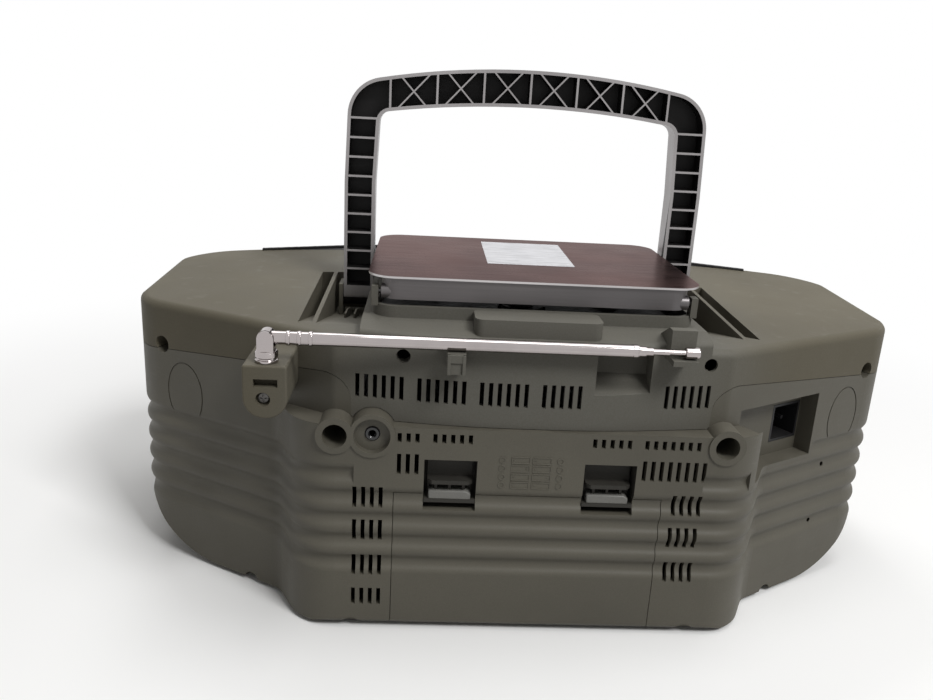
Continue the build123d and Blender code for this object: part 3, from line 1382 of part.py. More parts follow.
with BuildPart() as main_board:
    block((-board_half, board_half), (board_front_y, board_rear_y), (board_z, board_z + 1.6))
    for x in (-60.0, -30.0, 10.0, 45.0):
        rod((x, board_rear_y - 20.0, board_z + 1.0), (x, board_rear_y - 20.0, board_z + 18.0), 5.5)
    block((-20.0, 10.0), (board_front_y + 20.0, board_front_y + 40.0), (board_z + 1.0, board_z + 4.0))
    block((30.0, 70.0), (board_front_y + 14.0, board_front_y + 22.0), (board_z + 1.0, board_z + 26.0))
main_board.part.label = "main_board"
export_step(main_board.part, "parts/main_board.step")

with BuildPart() as transformer:
    block((-185.0, -135.0), (-9.0, 33.0), (foot_height + wall, foot_height + wall + 30.0))
    block((-178.0, -142.0), (-18.0, 42.0), (foot_height + wall + 5.0, foot_height + wall + 25.0))
transformer.part.label = "transformer"
export_step(transformer.part, "parts/transformer.step")

with BuildPart() as rubber_feet:
    for x, y in ((-150.0, -82.0), (150.0, -82.0), (-95.0, 84.0), (95.0, 84.0)):
        rod((x, y, 0.0), (x, y, foot_height), 9.0)
rubber_feet.part.label = "rubber_feet"
export_step(rubber_feet.part, "parts/rubber_feet.step")

with BuildPart() as cabinet_screws:
    for side in (1, -1):
        floor_y = rear - boss_length + wall
        rod((side * boss_x, floor_y, boss_z), (side * boss_x, floor_y + 2.4, boss_z), screw_head)
        rod((side * boss_x, floor_y + 1.0, boss_z), (side * boss_x, floor_y - 12.0, boss_z), screw_radius)
cabinet_screws.part.label = "cabinet_screws"
export_step(cabinet_screws.part, "parts/cabinet_screws.step")
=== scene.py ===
"""Looks of a portable disc and cassette radio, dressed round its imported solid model."""

import logging
import math
from dataclasses import dataclass
from enum import Enum
from typing import Callable, Sequence

import bmesh
import bpy
from mathutils import Matrix, Vector
from mathutils.bvhtree import BVHTree


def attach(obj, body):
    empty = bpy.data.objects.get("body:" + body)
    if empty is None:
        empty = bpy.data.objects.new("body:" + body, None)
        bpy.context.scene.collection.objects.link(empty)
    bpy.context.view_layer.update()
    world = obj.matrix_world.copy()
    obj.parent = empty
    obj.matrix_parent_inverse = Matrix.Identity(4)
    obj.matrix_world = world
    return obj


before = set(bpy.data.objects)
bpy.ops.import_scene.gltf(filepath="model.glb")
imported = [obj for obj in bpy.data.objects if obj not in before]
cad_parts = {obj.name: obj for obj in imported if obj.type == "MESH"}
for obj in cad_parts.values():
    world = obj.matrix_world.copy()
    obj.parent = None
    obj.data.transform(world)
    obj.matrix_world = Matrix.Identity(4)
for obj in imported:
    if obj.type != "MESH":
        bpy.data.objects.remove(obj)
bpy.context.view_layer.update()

LOG = logging.getLogger("radio")
MM = 0.001
WHITE = (1.0, 1.0, 1.0, 1.0)
MIX_FACTOR, MIX_FIRST, MIX_SECOND, MIX_RESULT = 0, 6, 7, 2
SMOOTH_CAD = math.radians(28)
SMOOTH_PIECE = math.radians(35)
Spot = tuple[float, float]
Point = tuple[float, float, float]
Colour = tuple[float, float, float]


class Axis(Enum):
    """Direction along which a sheet is brushed or a round piece points."""

    X = 0
    Y = 1
    Z = 2


class Slot(Enum):
    """Material slot of the record, given with each piece."""

    CABINET = "cabinet"
    FRONT = "front_plastic"
    BLACK = "black_plastic"
    CONTROL = "control_plastic"
    CLEAR = "clear_window"
    CHROME = "antenna_chrome"
    SCREW = "screw_steel"
    SPRING = "spring_steel"
    RUBBER = "roller_rubber"


class Socket:
    """One value in a node tree, with arithmetic that adds Math nodes."""

    def __init__(self, tree: "Tree", output: bpy.types.NodeSocket) -> None:
        """Keep where this value comes from.

        Args:
            tree: the node tree.
            output: the output of one of its nodes.
        """
        self.tree = tree
        self.output = output

    def math(self, operation: str, *others: "Socket | float") -> "Socket":
        """Add a Math node on this value.

        Args:
            operation: the node's operation.
            others: its further operands.

        Returns:
            The node's result.
        """
        return self.tree.add("ShaderNodeMath", {"operation": operation}, (self, *others))

    def __add__(self, other: "Socket | float") -> "Socket":
        """Sum with another value."""
        return self.math("ADD", other)

    __radd__ = __add__

    def __mul__(self, other: "Socket | float") -> "Socket":
        """Product with another value."""
        return self.math("MULTIPLY", other)

    __rmul__ = __mul__

    def __sub__(self, other: "Socket | float") -> "Socket":
        """Difference from another value."""
        return self.math("SUBTRACT", other)

    def __rsub__(self, other: float) -> "Socket":
        """A number less this value."""
        return self * -1.0 + other

    def clamp(self) -> "Socket":
        """This value held between nought and one."""
        return self.tree.add("ShaderNodeClamp", {}, (self,))

    def step(self, low: float, high: float) -> "Socket":
        """Smooth rise from nought to one.

        Args:
            low: where it leaves nought.
            high: where it reaches one.

        Returns:
            The share.
        """
        settings = {"interpolation_type": "SMOOTHSTEP"}
        return self.tree.add("ShaderNodeMapRange", settings, (self, low, high, 0.0, 1.0))


class Tree:
    """Node tree of a material or the world, built from Python expressions."""

    def __init__(self, tree: bpy.types.NodeTree) -> None:
        """Keep the tree's nodes and links.

        Args:
            tree: the node tree.
        """
        self.nodes = tree.nodes
        self.links = tree.links

    def node(self, kind: str, settings: dict, values: Sequence | dict) -> bpy.types.Node:
        """Add any node.

        Args:
            kind: the node's type.
            settings: its settings, which are set first.
            values: the values or links of its sockets, in order or by name.

        Returns:
            The new node.
        """
        made = self.nodes.new(kind)
        for key, value in settings.items():
            setattr(made, key, value)
        pairs = values.items() if isinstance(values, dict) else enumerate(values)
        for key, value in pairs:
            if isinstance(value, Socket):
                self.links.new(value.output, made.inputs[key])
            else:
                made.inputs[key].default_value = value
        return made

    def add(self, kind: str, settings: dict, values: Sequence | dict, out: int | str = 0) -> Socket:
        """Add any node and take one of its results.

        Args:
            kind: the node's type.
            settings: its settings.
            values: its sockets' values or links.
            out: which result is wanted.

        Returns:
            That result.
        """
        return Socket(self, self.node(kind, settings, values).outputs[out])

    def place(self, stretch: Point = (1.0, 1.0, 1.0)) -> Socket:
        """Object coordinates, scaled along each axis.

        Args:
            stretch: scale along each axis.

        Returns:
            The scaled place.
        """
        spot = self.add("ShaderNodeTexCoord", {}, (), "Object")
        return self.add("ShaderNodeVectorMath", {"operation": "MULTIPLY"}, (spot, stretch))

    def noise(self, scale: float, detail: float = 3.0, stretch: Point = (1.0, 1.0, 1.0)) -> Socket:
        """Noise over the object, about one half on average.

        Args:
            scale: cells in a metre.
            detail: number of finer layers.
            stretch: scale along each axis.

        Returns:
            The noise.
        """
        values = {"Vector": self.place(stretch), "Scale": scale, "Detail": detail}
        return self.add("ShaderNodeTexNoise", {}, values, "Fac")

    def along(self, axis: Axis, facing: bool = False) -> Socket:
        """Place or facing of the surface along an axis.

        Args:
            axis: the axis.
            facing: take the normal in place of the position.

        Returns:
            The value along it.
        """
        source = self.add("ShaderNodeTexCoord", {}, (), "Normal" if facing else "Object")
        return self.add("ShaderNodeSeparateXYZ", {}, (source,), axis.value)

    def seen(self) -> Socket:
        """One for rays of the camera, of gloss and through glass."""
        path = self.node("ShaderNodeLightPath", {}, ())
        names = ("Is Camera Ray", "Is Glossy Ray", "Is Transmission Ray")
        camera, gloss, glass = (Socket(self, path.outputs[name]) for name in names)
        return camera.math("MAXIMUM", gloss).math("MAXIMUM", glass)


class Shader(Tree):
    """Node tree of one finish."""

    def __init__(self, name: str) -> None:
        """Start a tree that holds a Principled shader.

        Args:
            name: the finish's name.
        """
        self.material = bpy.data.materials.new(name)
        self.material.use_nodes = True
        super().__init__(self.material.node_tree)
        self.surface = self.nodes["Principled BSDF"]

    def blend(self, share: Socket, first: Colour | Socket, second: Colour | Socket) -> Socket:
        """Colour between two others.

        Args:
            share: how much of the second shows.
            first: one colour.
            second: the other.

        Returns:
            The mixed colour.
        """
        values = {MIX_FACTOR: share}
        for slot, value in ((MIX_FIRST, first), (MIX_SECOND, second)):
            values[slot] = value if isinstance(value, Socket) else (*value, 1.0)
        return self.add("ShaderNodeMix", {"data_type": "RGBA"}, values, MIX_RESULT)

    def bump(self, height: Socket, strength: float, distance: float) -> Socket:
        """Normal bent by a height.

        Args:
            height: the height.
            strength: share of the bend that shows.
            distance: depth of the relief in metres.

        Returns:
            The bent normal.
        """
        values = {"Strength": strength, "Distance": distance, "Height": height}
        return self.add("ShaderNodeBump", {}, values, "Normal")

    def set(self, **values: "Socket | float | tuple") -> bpy.types.Material:
        """Fill the shader's sockets.

        Args:
            values: sockets by name, with an underscore for a space.

        Returns:
            The finished material.
        """
        for key, value in values.items():
            socket = self.surface.inputs[key.replace("_", " ")]
            if isinstance(value, Socket):
                self.links.new(value.output, socket)
            else:
                socket.default_value = value
        return self.material


def tint(colour: Colour, factor: float) -> Colour:
    """Make a colour lighter or darker.

    Args:
        colour: the colour.
        factor: how much lighter it gets.

    Returns:
        The new colour.
    """
    return tuple(min(1.0, part * factor) for part in colour)


@dataclass(frozen=True)
class Moulding:
    """Spark-eroded moulded plastic, a little worn and dusty."""

    name: str
    colour: Colour
    roughness: float = 0.5
    grain: float = 0.22
    dust: float = 0.25
    dust_colour: Colour = (0.175, 0.163, 0.132)
    shine: float = 0.4
    middle: Colour | None = None

    def build(self) -> bpy.types.Material:
        """Make the material.

        Returns:
            The material.
        """
        shader = Shader(self.name)
        broad = shader.noise(7.0, 4.0)
        rub = shader.noise(38.0, 5.0)
        speck = shader.noise(1300.0, 2.0)
        scuff = shader.noise(90.0, 2.0, (1.0, 1.0, 7.0)).step(0.60, 0.74)
        tone = shader.blend(broad.step(0.34, 0.66), tint(self.colour, 0.88), tint(self.colour, 1.1))
        if self.middle:
            inner = 1.0 - shader.along(Axis.X).math("ABSOLUTE").step(0.08, 0.17)
            tone = shader.blend(inner * 0.9, tone, self.middle)
        tone = shader.blend(speck.step(0.3, 0.7) * 0.22, tone, tint(self.colour, 0.62))
        up = shader.along(Axis.Z, facing=True).step(0.55, 1.0)
        film = (up * rub.step(0.32, 0.72) * self.dust).clamp()
        tone = shader.blend(film, tone, self.dust_colour)
        rough = (rub * 0.18 + (self.roughness - 0.09) + film * 0.25 - scuff * 0.07).clamp()
        height = speck * 0.75 + shader.noise(420.0, 2.0) * 0.45 + scuff * 0.2
        return shader.set(
            Base_Color=tone,
            Roughness=rough,
            Specular_IOR_Level=self.shine,
            Normal=shader.bump(height, self.grain, 0.00035),
        )


@dataclass(frozen=True)
class Brushed:
    """Sheet metal or metallic paint with fine lines and faint blotches."""

    name: str
    colour: Colour
    second: Colour
    roughness: float = 0.3
    axis: Axis = Axis.X
    metallic: float = 1.0
    lines: float = 0.12
    pitch: float = 900.0
    edge: Colour = (1.0, 1.0, 1.0)

    def build(self) -> bpy.types.Material:
        """Make the material.

        Returns:
            The material.
        """
        shader = Shader(self.name)
        stretch = tuple(0.02 if index == self.axis.value else 1.0 for index in range(3))
        line = shader.noise(self.pitch, 3.0, stretch)
        broad = shader.noise(11.0, 3.0)
        smear = shader.noise(34.0, 5.0)
        tone = shader.blend(broad.step(0.36, 0.64), self.colour, self.second)
        tone = shader.blend(line.step(0.3, 0.75) * 0.35, tone, tint(self.colour, 0.7))
        rough = (line * 0.2 + smear * 0.16 + (self.roughness - 0.16)).clamp()
        return shader.set(
            Base_Color=tone,
            Metallic=self.metallic,
            Specular_Tint=(*self.edge, 1.0),
            Roughness=rough,
            Normal=shader.bump(line, self.lines, 0.0001),
        )


@dataclass(frozen=True)
class Plated:
    """Bright plating with finger marks and fine scratches."""

    name: str
    colour: Colour = (0.40, 0.365, 0.36)
    roughness: float = 0.08

    def build(self) -> bpy.types.Material:
        """Make the material.

        Returns:
            The material.
        """
        shader = Shader(self.name)
        smear = shader.noise(60.0, 5.0)
        scratch = shader.noise(700.0, 2.0, (0.05, 1.0, 1.0))
        tone = shader.blend(smear.step(0.45, 0.8) * 0.3, self.colour, tint(self.colour, 0.72))
        rough = (smear * 0.14 + scratch * 0.08 + (self.roughness - 0.09)).clamp()
        return shader.set(
            Base_Color=tone,
            Metallic=1.0,
            Roughness=rough,
            Normal=shader.bump(scratch, 0.05, 0.00005),
        )


@dataclass(frozen=True)
class Foil:
    """Pale foil label with printed-paper streaks and small creases."""

    name: str
    colour: Colour

    def build(self) -> bpy.types.Material:
        """Make the material.

        Returns:
            The material.
        """
        shader = Shader(self.name)
        streak = shader.noise(520.0, 4.0, (0.12, 1.0, 1.0))
        crease = shader.noise(95.0, 4.0)
        ink = streak.step(0.38, 0.66) * 0.6
        tone = shader.blend(ink, tint(self.colour, 1.12), tint(self.colour, 0.62))
        tone = shader.blend(crease.step(0.55, 0.7) * 0.25, tone, tint(self.colour, 1.3))
        rough = (crease * 0.25 + 0.28).clamp()
        height = crease * 0.6 + streak * 0.3
        return shader.set(
            Base_Color=tone, Metallic=0.55, Roughness=rough, Normal=shader.bump(height, 0.2, 0.0002)
        )


@dataclass(frozen=True)
class Rubber:
    """Matt rubber or paper with a soft fine surface."""

    name: str
    colour: Colour
    roughness: float = 0.8
    pitch: float = 500.0

    def build(self) -> bpy.types.Material:
        """Make the material.

        Returns:
            The material.
        """
        shader = Shader(self.name)
        fibre = shader.noise(self.pitch, 4.0)
        bloom = shader.noise(25.0, 4.0)
        tone = shader.blend(bloom.step(0.4, 0.75) * 0.5, self.colour, tint(self.colour, 1.8))
        rough = (fibre * 0.14 + (self.roughness - 0.07)).clamp()
        return shader.set(Base_Color=tone, Roughness=rough, Normal=shader.bump(fibre, 0.25, 0.0003))


@dataclass(frozen=True)
class Window:
    """Smoked clear plastic with light scratches."""

    name: str
    colour: Colour
    alpha: float = 0.45

    def build(self) -> bpy.types.Material:
        """Make the material.

        Returns:
            The material.
        """
        shader = Shader(self.name)
        scratch = shader.noise(240.0, 3.0, (0.2, 1.0, 1.0))
        film = shader.noise(30.0, 4.0)
        tone = shader.blend(film.step(0.4, 0.7) * 0.4, self.colour, tint(self.colour, 2.0))
        rough = (scratch.step(0.55, 0.8) * 0.15 + 0.05).clamp()
        return shader.set(Base_Color=tone, Roughness=rough, Alpha=self.alpha)


@dataclass(frozen=True)
class Laminate:
    """Stacked steel sheets or a lacquered board, seen as fine layers."""

    name: str
    colour: Colour
    second: Colour
    pitch: float = 1500.0
    metallic: float = 0.0

    def build(self) -> bpy.types.Material:
        """Make the material.

        Returns:
            The material.
        """
        shader = Shader(self.name)
        layer = shader.noise(self.pitch, 1.0, (0.02, 0.02, 1.0))
        patch = shader.noise(160.0, 2.0)
        tone = shader.blend(patch.step(0.45, 0.55), self.colour, self.second)
        rough = (layer * 0.2 + 0.35).clamp()
        return shader.set(
            Base_Color=tone,
            Metallic=self.metallic,
            Roughness=rough,
            Normal=shader.bump(layer, 0.3, 0.0002),
        )


class Finishes:
    """All finishes of the radio, each made once."""

    def __init__(self) -> None:
        """Make the materials."""
        olive = (0.090, 0.083, 0.064)
        self.cabinet = Moulding("olive_moulding", olive, 0.55, dust=0.2).build()
        # A lighter copy of the olive moulding for the top shell: painted light that stands in for
        # the extra light on the upper faces. It turns greyer towards the middle across.
        self.cabinet_lit_top = Moulding(
            "olive_moulding_lit_top", (0.110, 0.098, 0.070), 0.62, dust=0.12, shine=0.2,
            middle=(0.118, 0.115, 0.101),
        ).build()
        self.door = Moulding("olive_moulding_door", tint(olive, 0.95), 0.52, dust=0.15).build()
        self.latch = Moulding("olive_moulding_latch", (0.155, 0.152, 0.140), 0.5, dust=0.1).build()
        # Painted shade: dark moulding for the walls inside the latch recesses and for the latches
        # that sit in them.
        self.pocket_shade = Moulding(
            "pocket_painted_shade", (0.030, 0.028, 0.024), 0.6, dust=0.1, shine=0.25
        ).build()
        self.jack = Moulding(
            "glossy_black_moulding", (0.008, 0.008, 0.009), 0.16, grain=0.02, dust=0.0, shine=0.6
        ).build()
        self.front = Moulding(
            "charcoal_moulding", (0.020, 0.019, 0.019), 0.5, dust=0.1,
            dust_colour=(0.08, 0.08, 0.077), shine=0.22,
        ).build()
        self.black = Moulding("black_moulding", (0.012, 0.012, 0.013), 0.45, dust=0.08).build()
        self.cell = Moulding(
            "dark_cell_moulding", (0.010, 0.009, 0.009), 0.5, grain=0.1, dust=0.12,
            dust_colour=(0.05, 0.047, 0.047), shine=0.2,
        ).build()
        self.control = Brushed(
            "silver_control", (0.36, 0.355, 0.36), (0.30, 0.295, 0.30), 0.34,
            metallic=0.65, lines=0.04,
        ).build()
        self.handle = Brushed(
            "silver_paint", (0.36, 0.345, 0.345), (0.29, 0.275, 0.275), 0.36, Axis.Z,
            metallic=0.8, lines=0.03, pitch=1500.0,
        ).build()
        self.lid = Brushed(
            "lid_silver_moulding", (0.135, 0.125, 0.125), (0.11, 0.103, 0.104), 0.36,
            metallic=0.6, lines=0.04,
        ).build()
        self.lid_plate = Brushed(
            "mauve_brushed_plate", (0.098, 0.074, 0.075), (0.155, 0.102, 0.098), 0.27,
            lines=0.05, edge=(0.58, 0.50, 0.49),
        ).build()
        self.plate_edge = Brushed(
            "bright_plate_edge", (0.55, 0.53, 0.53), (0.46, 0.44, 0.44), 0.3, Axis.X, 1.0, 0.03
        ).build()
        self.label = Foil("pale_label_foil", (0.56, 0.56, 0.58)).build()
        self.chrome = Plated("antenna_plating").build()
        self.steel = Brushed("bright_steel", (0.52, 0.52, 0.52), (0.46, 0.455, 0.45), 0.3).build()
        self.zinc = Brushed("zinc_plate", (0.40, 0.40, 0.39), (0.33, 0.33, 0.34), 0.42).build()
        self.screw = Brushed(
            "dark_screw_steel", (0.12, 0.115, 0.11), (0.08, 0.08, 0.08), 0.45
        ).build()
        self.grille = Brushed(
            "grille_paint", (0.05, 0.05, 0.052), (0.04, 0.04, 0.041), 0.45, metallic=0.3, lines=0.02
        ).build()
        self.cone = Rubber("cone_paper", (0.022, 0.022, 0.023), 0.78, 900.0).build()
        self.surround = Rubber("surround_rubber", (0.012, 0.012, 0.012), 0.55).build()
        self.foot = Rubber("foot_rubber", (0.014, 0.014, 0.014), 0.8).build()
        self.ferrite = Rubber("ferrite_grey", (0.05, 0.05, 0.053), 0.6, 300.0).build()
        self.window = Window("smoked_window", (0.02, 0.02, 0.022)).build()
        self.display = Window("display_face", (0.03, 0.045, 0.04), 1.0).build()
        self.ink = Moulding("pale_print", (0.62, 0.62, 0.60), 0.5, grain=0.05, dust=0.05).build()
        self.board = Laminate("green_board", (0.012, 0.07, 0.025), (0.018, 0.10, 0.04)).build()
        self.core = Laminate(
            "core_steel", (0.16, 0.14, 0.12), (0.20, 0.18, 0.16), metallic=0.8
        ).build()


class Mesh:
    """Mesh under construction in the row frame, in millimetres."""

    def __init__(self) -> None:
        """Start an empty mesh."""
        self.bm = bmesh.new()

    def wall(self, low: Sequence[bmesh.types.BMVert], high: Sequence[bmesh.types.BMVert]) -> None:
        """Join two closed rings of as many corners.

        Args:
            low: one ring.
            high: the other.
        """
        for index in range(len(low)):
            after = (index + 1) % len(low)
            self.bm.faces.new((low[index], low[after], high[after], high[index]))

    def lathe(
        self, profile: Sequence[Spot], at: Point, axis: Point, steps: int = 48
    ) -> "Mesh":
        """Turn a closed profile about an axis.

        Args:
            profile: pairs of radius and height along the axis.
            at: the origin of the axis.
            axis: its direction.
            steps: facets round it.

        Returns:
            This mesh.
        """
        turn = Vector((0, 0, 1)).rotation_difference(Vector(axis).normalized())
        rings = []
        for radius, height in profile:
            ring = []
            for index in range(steps):
                angle = 2 * math.pi * index / steps
                spot = Vector((radius * math.cos(angle), radius * math.sin(angle), height))
                ring.append(self.bm.verts.new(turn @ spot + Vector(at)))
            rings.append(ring)
        for low, high in zip(rings, [*rings[1:], rings[0]]):
            self.wall(low, high)
        return self

    def prism(self, outline: Sequence[Spot], plane: Matrix, low: float, high: float) -> "Mesh":
        """Raise an outline to a solid.

        Args:
            outline: its corners in the plane.
            plane: places the plane, with its local z outwards.
            low: height of the base.
            high: height of the top.

        Returns:
            This mesh.
        """
        base = [self.bm.verts.new(plane @ Vector((u, v, low))) for u, v in outline]
        top = [self.bm.verts.new(plane @ Vector((u, v, high))) for u, v in outline]
        self.bm.faces.new(base[::-1])
        self.bm.faces.new(top)
        self.wall(base, top)
        return self

    def bar(self, start: Spot, end: Spot, width: float, plane: Matrix, rise: float) -> "Mesh":
        """Raised line between two points of a plane, sunk a little into it.

        Args:
            start: where it starts.
            end: where it ends.
            width: its width.
            plane: places the plane.
            rise: its height.

        Returns:
            This mesh.
        """
        first, last = Vector(start), Vector(end)
        side = Vector((first.y - last.y, last.x - first.x)).normalized() * width / 2
        corners = (first - side, last - side, last + side, first + side)
        return self.prism([tuple(corner) for corner in corners], plane, -0.1, rise)

    def finish(
        self, name: str, material: bpy.types.Material, body: str, slot: Slot, bevel: float = 0.15
    ) -> bpy.types.Object:
        """Turn the mesh into a piece of the radio.

        Args:
            name: the piece's name.
            material: its finish.
            body: the body it rides on.
            slot: the record's slot of its material; not used.
            bevel: rounding of its edges in millimetres.

        Returns:
            The new object.
        """
        bmesh.ops.recalc_face_normals(self.bm, faces=self.bm.faces)
        bmesh.ops.scale(self.bm, vec=(MM, MM, MM), verts=self.bm.verts)
        data = bpy.data.meshes.new(name)
        self.bm.to_mesh(data)
        self.bm.free()
        made = bpy.data.objects.new(name, data)
        bpy.context.scene.collection.objects.link(made)
        data.materials.append(material)
        if bevel:
            edge = made.modifiers.new("edge", "BEVEL")
            edge.width = bevel * MM
            edge.segments = 2
            edge.limit_method = "ANGLE"
        for face in data.polygons:
            face.use_smooth = True
        data.set_sharp_from_angle(angle=SMOOTH_PIECE)
        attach(made, body)
        LOG.info("piece %s rides on %s", name, body)
        return made


def plane_at(origin: Point, normal: Point, across: Point) -> Matrix:
    """Matrix of a plane.

    Args:
        origin: its origin in millimetres.
        normal: its outward direction.
        across: its local x.

    Returns:
        The matrix.
    """
    out = Vector(normal).normalized()
    level = Vector(across).normalized()
    up = out.cross(level)
    return Matrix.Translation(Vector(origin)) @ Matrix((level, up, out)).transposed().to_4x4()


def ring_outline(radius: float, steps: int) -> list[Spot]:
    """Corners of a circle.

    Args:
        radius: its radius.
        steps: how many corners it has.

    Returns:
        The corners.
    """
    angles = [2 * math.pi * index / steps for index in range(steps)]
    return [(radius * math.cos(angle), radius * math.sin(angle)) for angle in angles]


@dataclass
class Cabinet:
    """The three shells with what is fixed to them."""

    finishes: Finishes
    rear: float = 122.5
    row_heights: tuple[float, ...] = (112.9, 107.7, 102.5, 97.3)
    column_x: float = 6.1
    cell_long: float = 10.4
    cell_high: float = 3.8
    line_width: float = 0.5
    line_rise: float = 0.4
    side_rise: float = 0.35
    tip_inset: float = 1.6
    mark_x: float = 16.7
    lip_reach: float = 232.0
    lip_steps: int = 116
    lip_near: float = 0.8
    lip_far: float = 3.4
    lip_sink: float = 0.4
    lip_rise: float = 1.7
    roof_low: float = 178.5
    edge_start: float = -122.0
    edge_step: float = 0.5
    edge_steps: int = 120
    edge_drop: float = 400.0
    tab_z: float = 88.6
    tab_half: float = 12.2
    pocket_x: float = 46.0
    pocket_half: float = 15.6
    pocket_low: float = 78.0
    pocket_top: float = 112.5
    boss_x: float = 112.0
    boss_z: float = 124.5
    boss_depth: float = 29.05
    rib_places: tuple[float, ...] = (104.0, 110.0, 116.0)
    rib_width: float = 1.2

    def dress(self) -> None:
        """Give the shells their mouldings."""
        finishes = self.finishes
        # The rear shell's latch-recess walls get painted shade.
        self.paint_pocket_shade(paint("rear_cabinet", finishes.cabinet))
        # The top shell and the antenna holder take the lighter copy with its painted top light.
        paint("top_cabinet", finishes.cabinet_lit_top)
        paint("antenna_holder", finishes.cabinet_lit_top)
        paint("front_cabinet", finishes.front)
        paint("battery_door", finishes.door)
        # The latches take the painted recess shade, so they sink into the shade around them.
        for name in ("battery_latch_left", "battery_latch_right"):
            paint(name, finishes.pocket_shade)
        paint("battery_contacts", finishes.steel)
        paint("rubber_feet", finishes.foot)
        paint("cabinet_screws", finishes.screw)
        paint("ac_inlet", finishes.black)
        paint("phones_jack", finishes.jack)
        paint("main_board", finishes.board)
        paint("transformer", finishes.core)

    def paint_pocket_shade(self, shell: bpy.types.Object) -> None:
        """Painted shade: dark moulding on the walls inside the two latch recesses.

        Args:
            shell: the rear shell's object.
        """
        shell.data.materials.append(self.finishes.pocket_shade)
        for face in shell.data.polygons:
            middle = face.center / MM
            beside = abs(abs(middle.x) - self.pocket_x) < self.pocket_half
            level = self.pocket_low < middle.z < self.pocket_top
            # Faces inside a latch recess take the painted shade.
            if beside and level and middle.y < self.rear - 0.5:
                face.material_index = 1

    def diagram(self) -> None:
        """Raised outlines of the cells between the latch pockets."""
        plane = plane_at((0.0, self.rear, 0.0), (0, 1, 0), (-1, 0, 0))
        mesh = Mesh()
        for row, height in enumerate(self.row_heights):
            top = height + self.cell_high / 2
            low = height - self.cell_high / 2
            for column in (-1, 1):
                left = column * self.column_x - self.cell_long / 2
                right = left + self.cell_long
                mesh.bar((left, top), (right, top), self.line_width, plane, self.line_rise)
                mesh.bar((left, low), (right, low), self.line_width, plane, self.line_rise)
                mesh.bar((left, low), (left, top), self.line_width, plane, self.side_rise)
                mesh.bar((right, low), (right, top), self.line_width, plane, self.side_rise)
                tip = left + self.tip_inset if (row + column) % 3 else right - self.tip_inset
                mesh.bar((tip - 0.7, height), (tip + 0.7, height), 0.4, plane, 0.3)
        mesh.finish("battery_diagram", self.finishes.cabinet, "cabinet", Slot.CABINET, 0.08)
        rings = Mesh()
        for side in (-1, 1):
            for height in self.row_heights:
                centre = (side * self.mark_x, self.rear - 0.1, height)
                rings.lathe([(2.0, 0), (2.0, 0.45), (1.4, 0.45), (1.4, 0)], centre, (0, 1, 0), 24)
        rings.finish("battery_diagram_rings", self.finishes.cabinet, "cabinet", Slot.CABINET, 0.06)

    def latch_tabs(self) -> None:
        """Light finger tab across the mouth of each latch."""
        for side, name in ((1, "left"), (-1, "right")):
            centre = (side * self.pocket_x, self.rear - 1.6, self.tab_z)
            plane = plane_at(centre, (0, 1, 0), (-1, 0, 0))
            half = self.tab_half
            outline = [(-half, -2.4), (half, -2.4), (half, 1.4), (half - 2.6, 3.0), (-half, 3.0)]
            mesh = Mesh().prism(outline, plane, -7.5, 0.0)
            body = f"battery_latch_{name}"
            mesh.finish(f"latch_tab_{name}", self.finishes.latch, body, Slot.CABINET, 0.7)

    def front_lip(self) -> None:
        """Dark bead standing along the far edge of the roof."""
        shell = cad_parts["front_cabinet"].data
        corners = [vertex.co for vertex in shell.vertices]
        tree = BVHTree.FromPolygons(corners, [face.vertices for face in shell.polygons])
        mesh = Mesh()
        sections = []
        for index in range(-self.lip_steps, self.lip_steps + 1):
            x = self.lip_reach * index / self.lip_steps
            edge = self.roof_edge(tree, x)
            if edge is None:
                continue
            y, z = edge
            near, far = y + self.lip_near, y + self.lip_far
            low, high = z - self.lip_sink, z + self.lip_rise
            section = ((near, low), (near, high), (far, high), (far, low))
            sections.append([mesh.bm.verts.new((x, *corner)) for corner in section])
        for low, high in zip(sections, sections[1:]):
            mesh.wall(low, high)
        mesh.bm.faces.new(sections[0])
        mesh.bm.faces.new(sections[-1][::-1])
        mesh.finish("front_lip", self.finishes.front, "cabinet", Slot.FRONT, 0.5)

    def roof_edge(self, tree: BVHTree, x: float) -> tuple[float, float] | None:
        """Front edge of the roof at one place.

        Args:
            tree: the front shell's surface.
            x: the place across, in millimetres.

        Returns:
            The edge's y and the roof's height there, or None past its end.
        """
        for step in range(self.edge_steps):
            y = self.edge_start + self.edge_step * step
            spot = tree.ray_cast(Vector((x, y, self.edge_drop)) * MM, Vector((0.0, 0.0, -1.0)))[0]
            if spot and spot.z > self.roof_low * MM:
                return y, spot.z / MM
        return None

    def phones_ring(self) -> None:
        """Dark ring round the mouth of the headphone socket."""
        profile = [(1.8, 0.0), (4.3, 0.0), (4.3, 0.5), (3.7, 1.1), (2.5, 1.1), (1.8, 0.4)]
        mesh = Mesh().lathe(profile, (91.0, self.rear - 4.0, 125.0), (0, 1, 0), 40)
        mesh.finish("phones_ring", self.finishes.jack, "cabinet", Slot.BLACK, 0.1)

    def holder_screw(self) -> None:
        """Cross-headed screw in the antenna holder."""
        head(Mesh(), (149.0, self.rear + 8.0, 149.0), (0, 1, 0), 3.5).finish(
            "holder_screw", self.finishes.screw, "cabinet", Slot.SCREW, 0.12
        )

    def boss_screws(self) -> None:
        """Cross-headed screws at the bottom of the boss holes."""
        mesh = Mesh()
        for side in (-1, 1):
            seat = (side * self.boss_x, self.rear - self.boss_depth, self.boss_z)
            head(mesh, seat, (0, 1, 0), 3.3)
        mesh.finish("boss_screws", self.finishes.screw, "cabinet", Slot.SCREW, 0.1)

